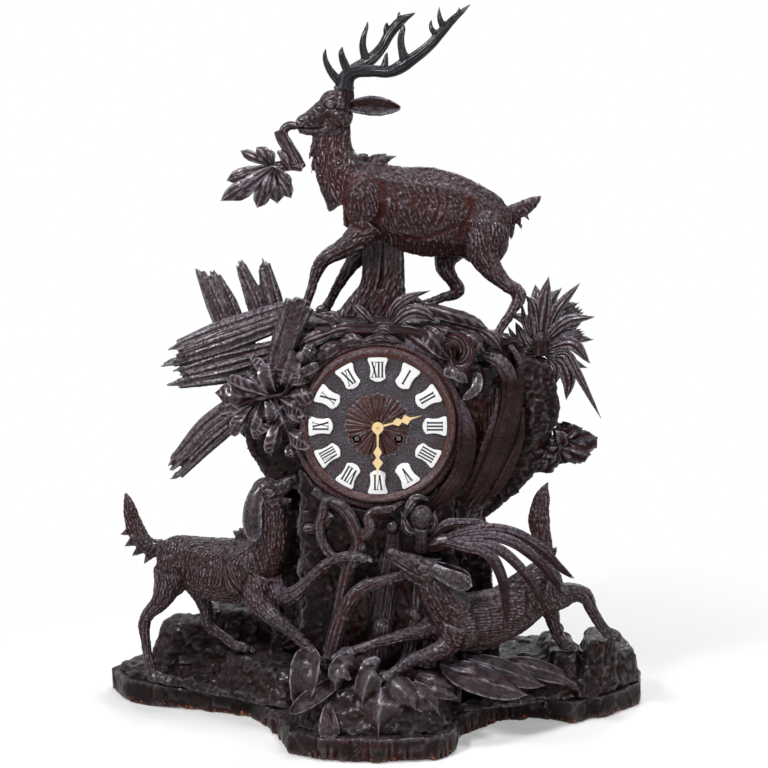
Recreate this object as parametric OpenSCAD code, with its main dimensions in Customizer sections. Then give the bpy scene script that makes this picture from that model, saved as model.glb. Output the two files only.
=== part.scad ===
// Carved mantel clock: stag over a dial, two hounds on a rocky base.
// X runs to the right, Y away from the viewer, Z up. Millimetres.
// The origin is the middle of the underside.

/* [Base] */
// Thickness of the base slab
base_t = 24; // [18:1:32]
// Height of the turf layer over the slab
turf_t = 9; // [6:1:14]
// Height of the plinth under the case, over the turf
plinth_t = 27; // [20:1:36]
// How far the plinth reaches past the case on each side
plinth_edge = 8; // [4:1:14]
/* [Case] */
// Width of the wooden case
case_w = 150; // [146:2:180]
// Height of the wooden case
case_h = 340; // [334:2:380]
// Depth of the wooden case with its door
case_d = 142; // [136:2:170]
// Thickness of the side, top and floor boards
board_t = 9; // [7:1:12]
// Thickness of the front board
front_t = 12; // [11:0.5:15]
// Thickness of the rear door
door_t = 8; // [6:1:10]
// Gap round the inset rear door
door_gap = 0.4; // [0.3:0.1:0.8]
// Height of each butt hinge
hinge_h = 40; // [30:2:60]
// Radius of the hinge pins
hinge_pin_r = 1; // [0.8:0.1:1.4]
// Length of the wooden turn button
button_l = 26; // [20:1:32]
/* [Dial] */
// Height of the dial centre over the case's underside
dial_up = 250; // [244:1:256]
// Radius of the dial plate
dial_r = 67; // [64:0.5:70]
// Thickness of the dial plate
dial_t = 12; // [10:0.5:14]
// Width of the carved ring round the dial plate
ring_w = 15; // [12:0.5:18]
// Thickness of the ring's outer step
ring_t = 10; // [8:0.5:12]
// Height of the ring's raised lip over that step
lip_t = 7; // [5:0.5:9]
// Radius at which the enamel numeral plaques sit
plaque_at = 55.5; // [52:0.5:57]
// Length of one plaque, along the dial's radius
plaque_l = 21; // [16:0.5:22]
// Thickness of one plaque
plaque_t = 3; // [2:0.25:3.5]
// Radius of the carved rosette
rosette_r = 33; // [28:1:36]
// Thickness of the carved rosette
rosette_t = 5; // [4:0.5:6]
/* [Movement] */
// Width of the movement plates
plate_w = 92; // [88:1:100]
// Thickness of each movement plate
plate_t = 2.5; // [2:0.25:3]
// Distance between the movement plates
plate_gap = 40; // [38:0.5:46]
// Distance between the two winding arbors
arbor_gap = 40; // [38:0.5:44]
// How far the winding arbors lie below the dial centre
arbor_drop = 12.5; // [10:0.5:15]
// Radius of each spring barrel
barrel_r = 17.5; // [15:0.5:18]
// Thickness of the train wheels
wheel_t = 1.5; // [1:0.25:2]
// Radius of the arbors
arbor_r = 1.5; // [1.2:0.1:1.8]
// Radial clearance of every shaft in its hole
fit_gap = 0.05; // [0.02:0.01:0.1]
// Across the flats of the winding squares
square_w = 4; // [3:0.25:4.5]
// Radius of the bell
bell_r = 36; // [30:1:40]
/* [Pendulum] */
// Length from the suspension to the middle of the bob
pendulum_l = 162; // [140:1:180]
// Radius of the bob
bob_r = 24; // [16:1:30]
// Thickness of the bob
bob_t = 9; // [7:0.5:12]
/* [Carving] */
// Thickness of the carved ledge on top of the case
ledge_t = 8; // [6:0.5:12]
// Thickness of the carved leaves at their rib
leaf_t = 5; // [4:0.5:7]
// Radius of the splintered logs
log_r = 12; // [9:0.5:14]
// Radius of the curved reeds at their thickest
reed_r = 7; // [5:0.5:8]
// Radius of the roots below the dial
root_r = 6; // [4.5:0.5:7]
// Radius of the round seed head beside the roots
seed_r = 11; // [8:0.5:12]
// Depth of the left and right crags behind their front
crag_d = 106; // [90:2:112]

/* [Hidden] */
walnut = "#33211c";
dark_oak = "#2a1c19";
pine = "#8a6a48";
brass = "#b8923f";
steel = "#8d9196";
enamel = "#f2f0ea";
$fn = 48;

// Levels and faces that the pieces share
turf_z = base_t + turf_t;
case_z = turf_z + plinth_t;
top_z = case_z + case_h;
stand_z = top_z + ledge_t;
dial_z = case_z + dial_up;
left_x = -case_w / 2;
right_x = case_w / 2;
case_y = -62;
rear_y = case_y + case_d;
board_y = case_y + front_t;
rail_x = right_x - board_t;
dial_y = case_y - dial_t;
step_y = case_y - ring_t;
ring_r = dial_r + 0.3 + ring_w;
lip_r = dial_r + 0.3 + ring_w / 2;
crag_y = -45;
wall_y = crag_y + crag_d;

// Movement: plates, then each arbor's place
back_y = board_y + plate_t + plate_gap;
plate_low = 50;
plate_high = 64;
going_at = [arbor_gap / 2, dial_z - arbor_drop];
strike_at = [-arbor_gap / 2, dial_z - arbor_drop];
centre_at = [0, dial_z];
wheel_reach = norm([arbor_gap / 2, arbor_drop]);
great_n = 84;
drive_n = 12;
great_m = wheel_reach * 2 / (great_n + drive_n);
train_m = 0.4;
centre_n = 80;
third_n = 75;
leaf_n = 10;
function step(from, dist, turn) = from + dist * [cos(turn), sin(turn)];
third_at = step(centre_at, train_m * (centre_n + leaf_n) / 2, 102.8);
escape_reach = train_m * (third_n + leaf_n) / 2;
escape_at = [0, third_at[1] + sqrt(pow(escape_reach, 2) - pow(third_at[0], 2))];
escape_r = 13;
anchor_at = escape_at + [0, 18];
pin_n = 60;
lock_n = 50;
strike_n = 8;
pin_at = step(strike_at, wheel_reach, 110);
lock_at = step(pin_at, train_m * (pin_n + strike_n) / 2, 75);
fly_at = step(lock_at, train_m * (lock_n + strike_n) / 2, 60);
hammer_at = [-28, dial_z + plate_high - 6];
cannon_n = 12;
minute_n = 36;
hour_n = 40;
cannon_m = 0.5;
motion_reach = cannon_m * (cannon_n + minute_n) / 2;
hour_m = motion_reach * 2 / (hour_n + leaf_n);
minute_at = [0, dial_z - motion_reach];
pipe_r = arbor_r + 1;
hour_pipe_r = pipe_r + 1.1;
hand_y = dial_y - rosette_t - 4;
swing_y = back_y + plate_t + 10;
bell_y = swing_y + 15;
bell_at = [0, dial_z + 20];
bell_d = 22;
bell_foot = [30, dial_z - 25];

// Shapes that repeat
module at_dial(y) translate([0, y, 0]) rotate([90, 0, 0]) children();
module rod(at, r, y0, y1) translate([at[0], y1, at[1]]) rotate([90, 0, 0]) cylinder(r = r, h = y1 - y0);
module plate(y0, y1) translate([0, y1, 0]) rotate([90, 0, 0]) linear_extrude(y1 - y0) children();
module span(x0, x1, y0, y1, z0, z1) translate([x0, y0, z0]) cube([x1 - x0, y1 - y0, z1 - z0]);
module chunk(pts) hull() polyhedron(points = pts, faces = [[for (i = [0:len(pts) - 1]) i]]);
// A chain of beads [x, y, z, radius], each pair joined; flat squeezes it along Y
module chain(path, flat = 1, sides = 6) {
    for (i = [0:len(path) - 2])
        hull() for (p = [path[i], path[i + 1]])
            translate([p[0], p[1], p[2]]) scale([1, flat, 1]) sphere(p[3], $fn = sides);
}
// A carved leaf from base to tip, w wide, ridged towards its facing side
module leaf(base, tip, w, facing = [0, -1, 0], thick = leaf_t) {
    run = tip - base;
    side = cross(run, facing) / norm(cross(run, facing)) * w / 2;
    middle = base + run * 0.42;
    out = facing * thick;
    chunk([base - out * 0.3, base + out * 0.5, tip - out * 0.15, tip + out * 0.15,
        middle + side, middle - side, middle + out, middle - out * 0.4]);
}
// A leaf with a side lobe at each edge
module lobed_leaf(base, tip, w, facing = [0, -1, 0]) {
    run = tip - base;
    side = cross(run, facing) / norm(cross(run, facing));
    leaf(base, tip, w * 0.6, facing);
    for (s = [-1, 1]) {
        leaf(base + run * 0.2, base + run * 0.68 + side * s * w * 0.58, w * 0.42, facing);
    }
}
// A toothed wheel with n teeth of module m, a tooth pointing along face
module teeth(n, m, face) {
    pitch_r = n * m / 2;
    rotate(face) polygon([for (i = [0:n - 1], k = [0:3])
        let (turn = 360 / n * (i + [-0.2, -0.09, 0.09, 0.2][k]),
            r = pitch_r + m * [-1.1, 0.6, 0.6, -1.1][k])
        r * [cos(turn), sin(turn)]]);
}
function towards(a, b) = atan2(b[1] - a[1], b[0] - a[0]);
module wheel(at, n, m, face, y0, y1) plate(y0, y1) translate(at) teeth(n, m, face);
// An arbor between the plates with its two pivots
module arbor(at, r = arbor_r) {
    rod(at, r, board_y + plate_t + 0.2, back_y - 0.2);
    rod(at, r * 0.7, board_y + 0.2, back_y + plate_t - 0.2);
}
function pivot_hole(r = arbor_r) = r * 0.7 + fit_gap;

// Base
// An outline point, moved out with the side of the case that it lies beside
function beside(p) = [p[0] + (p[0] < -60 ? left_x + 75 : p[0] > 60 ? right_x - 75 : 0), p[1]];
slab_edge = [[-286, 70], [-265, 30], [-226, 9], [-184, 0], [-130, -20], [-102, -69],
    [-86, -120], [-54, -140], [2, -146], [59, -138], [75, -120], [80, -80], [123, -32],
    [164, -27], [198, -41], [215, -25], [230, -22], [273, 20], [279, 62], [262, 100],
    [200, 112], [-200, 112], [-262, 104]];
module plinth_box(grow = 0) span(left_x - plinth_edge, right_x + plinth_edge,
    case_y - 6, rear_y + plinth_edge, base_t - grow, case_z + grow);
module base_slab() color(dark_oak) {
    linear_extrude(base_t) polygon([for (p = slab_edge) beside(p)]);
    plinth_box();
}
// Mound from an outline at z0 to the same outline drawn in towards a centre at z1
module mound(edge, z0, z1, centre, k) hull() {
    translate([0, 0, z0]) linear_extrude(0.1) polygon(edge);
    translate([centre[0], centre[1], z1 - 0.1]) scale([k, k, 1]) linear_extrude(0.1)
        polygon([for (p = edge) p - centre]);
}
front_mound_z = turf_z + 33;
front_mound_edge = [[-84, -62], [-80, -112], [-53, -134], [0, -140], [56, -132], [71, -114],
    [76, -80], [76, -62]];
module front_mound() mound([for (p = front_mound_edge) beside(p)], base_t, front_mound_z,
    [0, -60], 0.74);
module base_rocks() color(walnut) difference() {
    union() {
        front_mound();
        translate([left_x + 75, 0, 0]) {
            mound([[-280, 68], [-262, 34], [-224, 14], [-184, 5], [-130, -14], [-104, -60],
                [-70, -60], [-70, 104], [-258, 98]], base_t, turf_z, [-160, 40], 0.93);
            mound([[-168, 2], [-128, -12], [-100, -62], [-70, -62], [-70, 92], [-165, 88]],
                base_t, turf_z + 25, [-110, 20], 0.8);
            mound([[-248, 44], [-226, 28], [-184, 32], [-150, 30], [-150, 88], [-228, 88]],
                base_t, turf_z + 50, [-196, 60], 0.6);
            mound([[-200, 36], [-150, 26], [-100, 24], [-84, 26], [-84, 90], [-196, 90]],
                base_t, turf_z + 61, [-135, 60], 0.74);
            chunk([[-78, -94, turf_z], [-42, -94, turf_z], [-42, -62, turf_z], [-88, -60, turf_z],
                [-70, -88, turf_z + 39], [-46, -86, turf_z + 39], [-46, -64, turf_z + 39],
                [-72, -64, turf_z + 39]]);
        }
        translate([right_x - 75, 0, 0]) {
            mound([[72, -78], [118, -26], [162, -20], [196, -34], [212, -20], [228, -16], [266, 22],
                [270, 60], [256, 96], [72, 98]], base_t, turf_z, [160, 30], 0.93);
            mound([[76, -62], [112, -28], [196, -30], [206, 30], [196, 88], [76, 90]],
                base_t, turf_z + 25, [130, 20], 0.82);
            mound([[172, -34], [200, -36], [208, -14], [200, 60], [168, 60]],
                turf_z, turf_z + 39, [188, -10], 0.86);
            mound([[200, -38], [222, -30], [246, -6], [252, 40], [204, 56]],
                base_t, turf_z + 51, [232, -26], 0.6);
            mound([[228, -16], [256, 4], [274, 24], [274, 60], [240, 70]],
                base_t, turf_z + 26, [246, 30], 0.66);
            mound([[82, -30], [112, -26], [112, 60], [82, 60]], turf_z, case_z + 56, [88, 20], 0.6);
        }
        mound([[-120, 84], [140, 84], [150, 106], [-140, 106]], base_t, turf_z + 16, [0, 92], 0.8);
    }
    plinth_box(0.01);
    span(left_x, right_x, case_y, rear_y + 200, case_z, top_z);
    linear_extrude(base_t) square(900, center = true);
}
module base_leaves() color(walnut) difference() {
    union() {
        chain([[-40, -98, front_mound_z + 1, 6], [-4, -102, front_mound_z + 1, 8],
            [44, -96, front_mound_z + 1, 6], [76, -72, turf_z + 20, 7]]);
        for (t = [[-66, -118, 40, 34], [-40, -134, 24, 34], [2, -141, -2, 42], [34, -137, 24, 32],
            [64, -120, 32, 34], [-20, -139, 30, 26]]) {
            shoulder = [t[0] * 0.82, max(t[1] + 14, -126), front_mound_z + 3];
            stem = [t[0] * 0.4, -98, front_mound_z];
            leaf(stem, shoulder + (shoulder - stem) * 0.3, t[3], [0, -0.4, 0.92], 7);
            leaf(shoulder + [0, 8, 2], [t[0], t[1] - 4, turf_z - 8 + t[2]], t[3], [0, -0.9, 0.44], 8);
        }
        translate([right_x - 75, 0, 0]) {
            chain([[70, -78, turf_z + 18, 7], [96, -52, turf_z + 24, 7], [124, -36, turf_z + 22, 7],
                [160, -36, turf_z + 10, 5]]);
            for (i = [0:5])
                leaf([84 + 12 * i, -58 + 5 * i, turf_z + 24 - i], [94 + 17 * i, -70 + 5 * i, turf_z - 2 - i],
                    20, [0, -0.8, 0.6], 8);
        }
    }
    front_mound();
    base_rocks();
    plinth_box();
    linear_extrude(base_t) square(900, center = true);
    span(left_x, right_x, case_y, rear_y, case_z, top_z);
}

// Case
screw_x = plate_w / 2 - 4;
screw_at = [for (s = [-1, 1], h = [-36, 20]) [s * screw_x, dial_z + h]];
screw_r = 1.6;
hatch_r = 38;
module front_board() color(dark_oak) difference() {
    span(left_x, right_x, case_y, board_y, case_z, top_z);
    rod(centre_at, hatch_r, case_y - 1, board_y + 1);
    for (p = screw_at) rod(p, screw_r + fit_gap, board_y - 8, board_y + 1);
}
module side_boards() color(dark_oak) for (s = [-1, 1]) difference() {
    x0 = s < 0 ? left_x : rail_x;
    span(x0, x0 + board_t, board_y, rear_y, case_z + board_t, top_z - board_t);
    if (s < 0) rod(button_at, 1.5 + fit_gap, rear_y - 12, rear_y + 1);
}
module top_board() color(dark_oak) span(left_x, right_x, board_y, rear_y, top_z - board_t, top_z);
module floor_board() color(dark_oak) span(left_x, right_x, board_y, rear_y, case_z, case_z + board_t);
module rear_door() color(dark_oak) span(-rail_x + door_gap, rail_x - door_gap, rear_y - door_t, rear_y,
    case_z + board_t + door_gap, top_z - board_t - door_gap);
// Butt hinges on the right: the pins stand at hinge_at
leaf_metal = 1.2;
knuckle_r = hinge_pin_r + 1;
hinge_at = [rail_x, rear_y + knuckle_r + 0.3];
hinge_z = [case_z + 50, top_z - 50 - hinge_h];
module knuckle(z0, z1) translate([hinge_at[0], hinge_at[1], z0]) difference() {
    cylinder(r = knuckle_r, h = z1 - z0);
    translate([0, 0, -1]) cylinder(r = hinge_pin_r + fit_gap, h = z1 - z0 + 2);
}
module hinge_half(s, z, tabs) difference() {
    union() {
        span(min(s * 2.4, s * 8) + hinge_at[0], max(s * 2.4, s * 8) + hinge_at[0],
            rear_y, rear_y + leaf_metal, z, z + hinge_h);
        for (t = tabs) {
            span(min(0, s * 3) + hinge_at[0], max(0, s * 3) + hinge_at[0],
                rear_y + 0.3, rear_y + leaf_metal + 0.3, z + t[0], z + t[1]);
            knuckle(z + t[0], z + t[1]);
        }
    }
    translate([hinge_at[0], hinge_at[1], z - 1]) cylinder(r = hinge_pin_r + fit_gap, h = hinge_h + 2);
}
module hinge_case_leaves() color(brass) for (z = hinge_z) {
    hinge_half(1, z, [[0, hinge_h / 3 - 0.2], [hinge_h * 2 / 3 + 0.2, hinge_h]]);
    translate([hinge_at[0], hinge_at[1], z - 1]) cylinder(r = hinge_pin_r, h = hinge_h + 1);
    translate([hinge_at[0], hinge_at[1], z - 2.5]) cylinder(r = knuckle_r, h = 2.3);
}
module hinge_door_leaves() color(brass) for (z = hinge_z)
    hinge_half(-1, z, [[hinge_h / 3, hinge_h * 2 / 3]]);
button_at = [left_x + board_t / 2, case_z + 170];
module door_button() color(dark_oak) {
    rod(button_at, 1.5, rear_y - 11, rear_y + 1);
    span(button_at[0] - board_t / 2 + 0.5, button_at[0] + board_t / 2 - 0.5, rear_y + 0.3, rear_y + 3.3,
        button_at[1] - board_t / 2 + 0.5, button_at[1] + button_l - board_t / 2);
}

// Carved crags on both sides of the case; their backs lie on the boards
module left_crag() color(walnut) difference() {
    union() translate([left_x + 75, 0, 0]) {
        hull() {
            plate(crag_y, crag_y + 1) polygon([[-70, top_z - 2], [-92, top_z - 4], [-114, top_z - 34],
                [-132, top_z - 76], [-129, dial_z - 26], [-106, dial_z - 64], [-70, dial_z - 70]]);
            plate(wall_y - 1, wall_y) polygon([[-70, top_z - 6], [-84, top_z - 14],
                [-104, top_z - 80], [-96, dial_z - 50], [-70, dial_z - 60]]);
        }
        chunk([[-70, 8, case_z], [-112, 14, case_z], [-108, wall_y, case_z], [-70, wall_y, case_z],
            [-70, 6, dial_z - 90], [-92, 12, dial_z - 90], [-90, wall_y - 8, dial_z - 90],
            [-70, wall_y, dial_z - 60], [-98, 20, dial_z - 64]]);
        chunk([[-92, crag_y + 6, top_z - 60], [-128, -12, top_z - 70], [-140, 0, top_z - 110],
            [-120, 24, top_z - 120], [-100, 30, top_z - 60], [-118, crag_y + 12, top_z - 120]]);
        chunk([[-84, -26, dial_z - 52], [-116, -20, dial_z - 40], [-112, 24, dial_z - 52],
            [-84, 30, dial_z - 96], [-94, -4, dial_z - 92], [-100, 20, dial_z - 20]]);
        for (i = [0:4]) chunk([[-84 - 4 * i, crag_y + 14 + 16 * i, top_z - 30 - 8 * i],
            [-100 - 4 * i, crag_y + 18 + 16 * i, top_z - 26 - 12 * i],
            [-124 + 2 * i, crag_y + 22 + 16 * i, top_z - 84], [-104, crag_y + 34 + 14 * i, top_z - 90],
            [-92, crag_y + 32 + 14 * i, top_z - 24 - 8 * i]]);
    }
    span(left_x, 0, case_y, rear_y + 200, 0, top_z + 50);
    span(left_x - 300, left_x + 300, case_y, rear_y, 0, case_z);
    base_rocks();
}
hoof_z = top_z - 34;
module right_crag() color(walnut) difference() {
    union() translate([right_x - 75, 0, 0]) {
        hull() {
            plate(-30, -29) polygon([[70, top_z - 4], [126, top_z - 8], [150, top_z - 14],
                [170, top_z - 36], [180, dial_z + 15], [176, dial_z - 30], [140, dial_z - 74],
                [108, dial_z - 100], [70, dial_z - 100]]);
            plate(wall_y - 1, wall_y) polygon([[70, top_z - 10], [136, top_z - 26], [160, dial_z + 10],
                [150, dial_z - 30], [110, dial_z - 90], [70, dial_z - 90]]);
        }
        hull() {
            plate(case_y, case_y + 1) polygon([[70, top_z - 40], [108, top_z - 40], [112, dial_z],
                [102, dial_z - 60], [84, dial_z - 95], [70, dial_z - 95]]);
            plate(-29, -28) polygon([[70, top_z - 34], [128, top_z - 34], [140, dial_z],
                [124, dial_z - 70], [100, dial_z - 106], [70, dial_z - 106]]);
        }
        span(74, 124, case_y, -28, hoof_z - 14, hoof_z);
        chunk([[70, -10, dial_z - 80], [106, -12, dial_z - 80], [104, wall_y, dial_z - 80],
            [70, wall_y, dial_z - 70], [70, -14, case_z], [100, -10, case_z + 40],
            [124, -20, case_z], [120, wall_y, case_z], [70, wall_y, case_z]]);
        chunk([[132, -36, top_z - 22], [160, -34, top_z - 32], [176, -10, top_z - 50], [172, 10, dial_z + 20],
            [150, -42, dial_z + 10], [168, -38, dial_z - 10], [140, -30, dial_z - 60]]);
        for (i = [0:3]) chunk([[100 + 10 * i, case_y + 18 + 12 * i, top_z - 26],
            [120 + 10 * i, case_y + 22 + 12 * i, top_z - 40], [112 + 8 * i, case_y + 8 + 10 * i, dial_z - 10],
            [124 + 6 * i, case_y + 30 + 10 * i, dial_z - 50 + 8 * i], [92 + 8 * i, 0, dial_z]]);
    }
    span(0, right_x, case_y, rear_y + 200, 0, top_z + 50);
    span(right_x - 300, right_x + 300, case_y, rear_y, 0, case_z);
    base_rocks();
    translate([right_x - 75, 0, 0]) {
        span(78, 126, case_y - 30, -34, hoof_z, top_z + 30);
        span(146, 190, -50, 0, top_z - 30, top_z + 60);
        span(172, 220, -90, 30, dial_z - 58, dial_z - 8);
    }
}
// The ledge that the stag stands on, and its slope down to the right
module top_ledge() color(walnut) difference() {
    union() {
        hull() {
            plate(case_y + 4, case_y + 5) polygon([[left_x - 14, top_z], [left_x - 18, stand_z - 3],
                [left_x - 10, stand_z], [66, stand_z], [right_x + 20, top_z], [right_x + 20, top_z - 4]]);
            plate(wall_y - 5, wall_y - 4) polygon([[left_x - 6, top_z], [left_x + 4, stand_z],
                [56, stand_z], [right_x + 12, top_z]]);
        }
        for (i = [0:7]) translate([left_x + 16 + 18 * i, 0, 0])
            chunk([[0, 30, stand_z - 3], [16, 26, stand_z - 3], [14, 60 + i % 3 * 3, top_z + 1],
                [2, 62, top_z + 1], [4, 36, stand_z + 4 + 3 * (i % 2)], [11, 44, stand_z + 3]]);
    }
    translate([0, 0, top_z - 100]) cube([500, 500, 200], center = true);
    span(right_x + 2, right_x + 100, -200, 200, 0, top_z + 50);
}
module stump_form() {
    chain([[-40, -2, top_z - 2, 10], [-22, -1, top_z + 18, 12], [-6, 0, top_z + 38, 11],
        [-1, 0, top_z + 66, 13]], 0.75);
    chain([[18, -1, top_z - 4, 13], [12, -1, top_z + 22, 13], [13, 0, top_z + 46, 12],
        [13, 0, top_z + 66, 13]], 0.75);
    chain([[28, -2, top_z, 8], [20, -2, top_z + 30, 8], [19, -2, top_z + 58, 7]], 0.9);
    chunk([[-44, -8, top_z - 2], [34, -8, top_z - 2], [34, 7, top_z - 2], [-44, 7, top_z - 2],
        [-12, -7, top_z + 34], [24, -8, top_z + 34], [24, 6, top_z + 34], [-12, 6, top_z + 34]]);
}
stump_z = stand_z + 60;
module tree_stump() color(walnut) intersection() {
    stump_form();
    span(-200, 200, -9, 7, stand_z, stump_z);
}
module top_foliage() color(walnut) difference() {
    union() translate([0, 0, top_z]) {
        chain([[-60, -68, 0, 6], [-20, -70, 2, 7], [30, -70, 1, 7], [72, -68, -12, 6]]);
        for (t = [[-58, -74, 18, 20], [-36, -78, -14, 18], [-16, -76, 20, 20], [4, -80, -18, 18],
            [22, -74, 20, 22], [52, -76, 12, 20], [46, -82, -22, 18], [84, -76, -28, 20], [70, -72, 14, 18]])
            leaf([t[0] * 0.72, -68, 2], [t[0], t[1], t[2]], t[3]);
        chain([[28, -66, 6, 5], [34, -60, 22, 3.5], [40, -56, 44, 1.2]], 0.7);
        chain([[-40, -66, 4, 5], [-30, -62, 18, 3.5], [-22, -60, 32, 1.2]], 0.7);
        leaf([38, -64, 12], [60, -64, 16], 16, [0, -0.9, 0.44]);
        chain([[40, -64, 4, 6], [74, -62, -2, 7], [100, -54, -6, 7], [126, -44, -8, 5]], 0.8);
    }
    span(left_x - 50, right_x, case_y, rear_y, 0, top_z);
    at_dial(case_y) translate([0, dial_z, 0]) cylinder(r = ring_r + 0.2, h = ring_t);
    at_dial(case_y) translate([0, dial_z, 0]) cylinder(r = lip_r + 0.2, h = ring_t + lip_t);
    top_ledge();
    right_crag();
    stag_form();
}

// Splintered logs, propped on the left crag's front
module logs_form() translate([left_x + 75, 0, 0]) {
    y = crag_y - log_r + 2;
    chain([[-186, y, top_z - 18, log_r], [-150, y, top_z - 7, log_r + 2],
        [-92, y, top_z + 12, log_r - 1]], 0.9);
    chain([[-190, y, top_z - 42, log_r - 2], [-150, y, top_z - 33, log_r + 1],
        [-98, y, top_z - 22, log_r]], 0.9);
    chain([[-186, y, top_z - 126, log_r + 1], [-160, y, top_z - 96, log_r + 4],
        [-112, y, top_z - 58, log_r + 3]], 0.8);
    chain([[-104, y - 12, top_z - 46, 10], [-92, y - 12, top_z - 8, 10], [-80, y - 12, top_z + 27, 9]], 0.8);
    chain([[-90, y - 12, top_z - 24, 8], [-80, y - 12, top_z - 2, 8], [-68, y - 12, top_z + 22, 7]], 0.8);
    for (t = [[-168, 47, -146, 0, 8], [-155, 50, -132, 2, 8], [-118, 56, -110, 14, 8],
        [-107, 64, -98, 14, 9]])
        chain([[t[0], y + 14, top_z + t[1], t[4] * 0.7], [(t[0] + t[2]) / 2, y + 12, top_z + t[1] / 2, t[4]],
            [t[2], y + 8, top_z + t[3] - 4, t[4]]], 0.8);
    for (t = [[-206, 4, -17, 5], [-208, -6, -26, 4], [-204, -6, -48, 4], [-204, 6, -38, 4],
        [-200, 0, -142, 4], [-198, -4, -122, 5]])
        chain([[t[0] + 22, y + t[1], top_z + t[2] + 3, t[3] + 3],
            [t[0], y + t[1], top_z + t[2], t[3] - 2]], 0.8);
}
module splintered_logs() color(pine) difference() {
    logs_form();
    left_crag();
    span(left_x - 90, 0, crag_y, 100, 0, top_z + 2);
    span(left_x, 0, case_y, rear_y, 0, top_z);
    top_ledge();
    at_dial(case_y) translate([0, dial_z, 0]) cylinder(r = ring_r + 0.5, h = 60);
    leaf_seat();
}
spray_at = [left_x - 23, dial_z + 32];
spray_y = -73;
module leaf_seat() translate([spray_at[0], spray_y, spray_at[1]]) rotate([90, 0, 0]) cylinder(r = 30, h = 40);
module left_leaf_spray() color(walnut) difference() {
    union() translate([spray_at[0], 0, spray_at[1]]) {
        chain([[-6, spray_y - 2, -4, 12], [8, spray_y - 3, 6, 12]], 0.6);
        for (i = [0:8]) let (turn = 40 * i + 12, l = i % 2 == 0 ? 48 : 42)
            leaf([6 * cos(turn), spray_y - 3, 6 * sin(turn)],
                [l * cos(turn), spray_y - 7 + 4 * sin(turn * 2), l * sin(turn)], 23);
        for (i = [0:4]) let (turn = 72 * i + 25, c = [cos(turn), 0, sin(turn)])
            leaf(3 * c + [0, spray_y - 8, 0], 28 * c + [0, spray_y - 14, 0], 18);
        for (t = [[5, 66, 14], [-26, -62, 16], [21, -58, 16]])
            leaf([t[0] * 0.35, spray_y - 2.4, t[1] * 0.35], [t[0], spray_y - 6, t[1]], t[2]);
    }
    at_dial(case_y) translate([0, dial_z, 0]) cylinder(r = ring_r + 0.3, h = ring_t + 0.3);
    at_dial(case_y) translate([0, dial_z, 0]) cylinder(r = lip_r + 0.3, h = ring_t + lip_t + 0.3);
    span(left_x - 200, 200, spray_y, 200, 0, 900);
}
// Reed tuft on the right crag's shoulder
tuft_at = [right_x + 81, -24, top_z - 30];
module reed_tuft() color(walnut) difference() {
    union() translate(tuft_at) {
        chain([[0, 0, 0, 10], [0, -2, 10, 9]]);
        for (t = [[-14, -6, 54, 6], [10, -8, 78, 9], [-4, 4, 64, 7], [39, -4, 70, 6], [53, -2, 40, 7],
            [62, -8, -14, 6], [54, 6, 10, 8], [40, 14, 46, 9], [-30, 10, 34, 6], [24, 24, 60, 7],
            [-10, 30, 50, 7], [44, 30, 22, 8], [14, 40, 30, 8], [56, 12, 28, 9]])
            chain([[0, 0, 6, 5], [t[0] * 0.5, t[1] * 0.5, 6 + t[2] * 0.62, t[3] * 0.8],
                [t[0], t[1], t[2], 1]], 0.7);
        for (t = [[30, -10, 30], [40, -8, 4]])
            leaf([0, -4, 4], t, 16, [0, -0.9, 0.4]);
    }
    right_crag();
    span(right_x - 20, right_x + 71, -200, 200, 0, tuft_at[2]);
    span(right_x, right_x + 110, -36, 100, 0, tuft_at[2]);
}
cluster_at = [right_x + 97, -10, dial_z - 33];
module right_leaf_cluster() color(walnut) difference() {
    union() translate(cluster_at) {
        chain([[-2, 0, 0, 9], [10, -2, 2, 9]]);
        for (t = [[44, -8, 14, 24], [34, -12, -26, 26], [6, -14, -26, 24], [22, -10, 28, 22],
            [30, 14, 6, 24], [16, 18, -18, 22], [24, 24, 20, 20]])
            lobed_leaf([4, t[1] * 0.3, 0], [t[0], t[1], t[2]], t[3]);
        chain([[12, -6, 4, 6], [26, -10, 6, 5], [32, -12, 2, 4]]);
    }
    span(0, cluster_at[0], -100, 100, 0, 900);
    right_crag();
}
// Long reeds that bow out beside the dial, and those that arch over the hound
module curved_reeds() color(walnut) difference() {
    union() translate([right_x - 75, 0, dial_z]) {
        chain([[58, -66, 66, 5], [80, -70, 46, reed_r], [91, -74, 14, reed_r + 2], [92, -76, -16, reed_r + 3],
            [82, -76, -46, reed_r + 1], [60, -74, -74, reed_r - 1], [36, -70, -88, 3]], 0.9);
        chain([[100, -64, 40, 4], [105, -68, 16, reed_r - 1], [103, -70, -14, reed_r],
            [92, -72, -52, reed_r - 1], [74, -70, -84, reed_r - 2], [60, -68, -98, 3]], 0.9);
        chain([[98, -62, 62, 8], [114, -62, 50, reed_r + 2], [119, -64, 16, reed_r + 2],
            [112, -66, -24, reed_r + 3], [98, -68, -66, reed_r + 2], [76, -68, -98, reed_r - 2]], 0.9);
        chain([[126, -52, 56, 5], [132, -52, 20, reed_r], [124, -56, -32, reed_r + 1],
            [108, -60, -76, reed_r], [86, -66, -104, reed_r - 1]], 0.9);
        chain([[62, -72, 62, 4], [72, -80, 44, 4.5], [86, -80, 52, 4.5], [94, -70, 62, 3]], 0.8);
    }
    span(0, right_x, case_y, 200, 0, 900);
    right_crag();
    at_dial(case_y + 1) translate([0, dial_z, 0]) cylinder(r = ring_r + 0.3, h = 60);
    top_foliage();
}
knot_at = [right_x - 17, -76, dial_z - 114];
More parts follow.
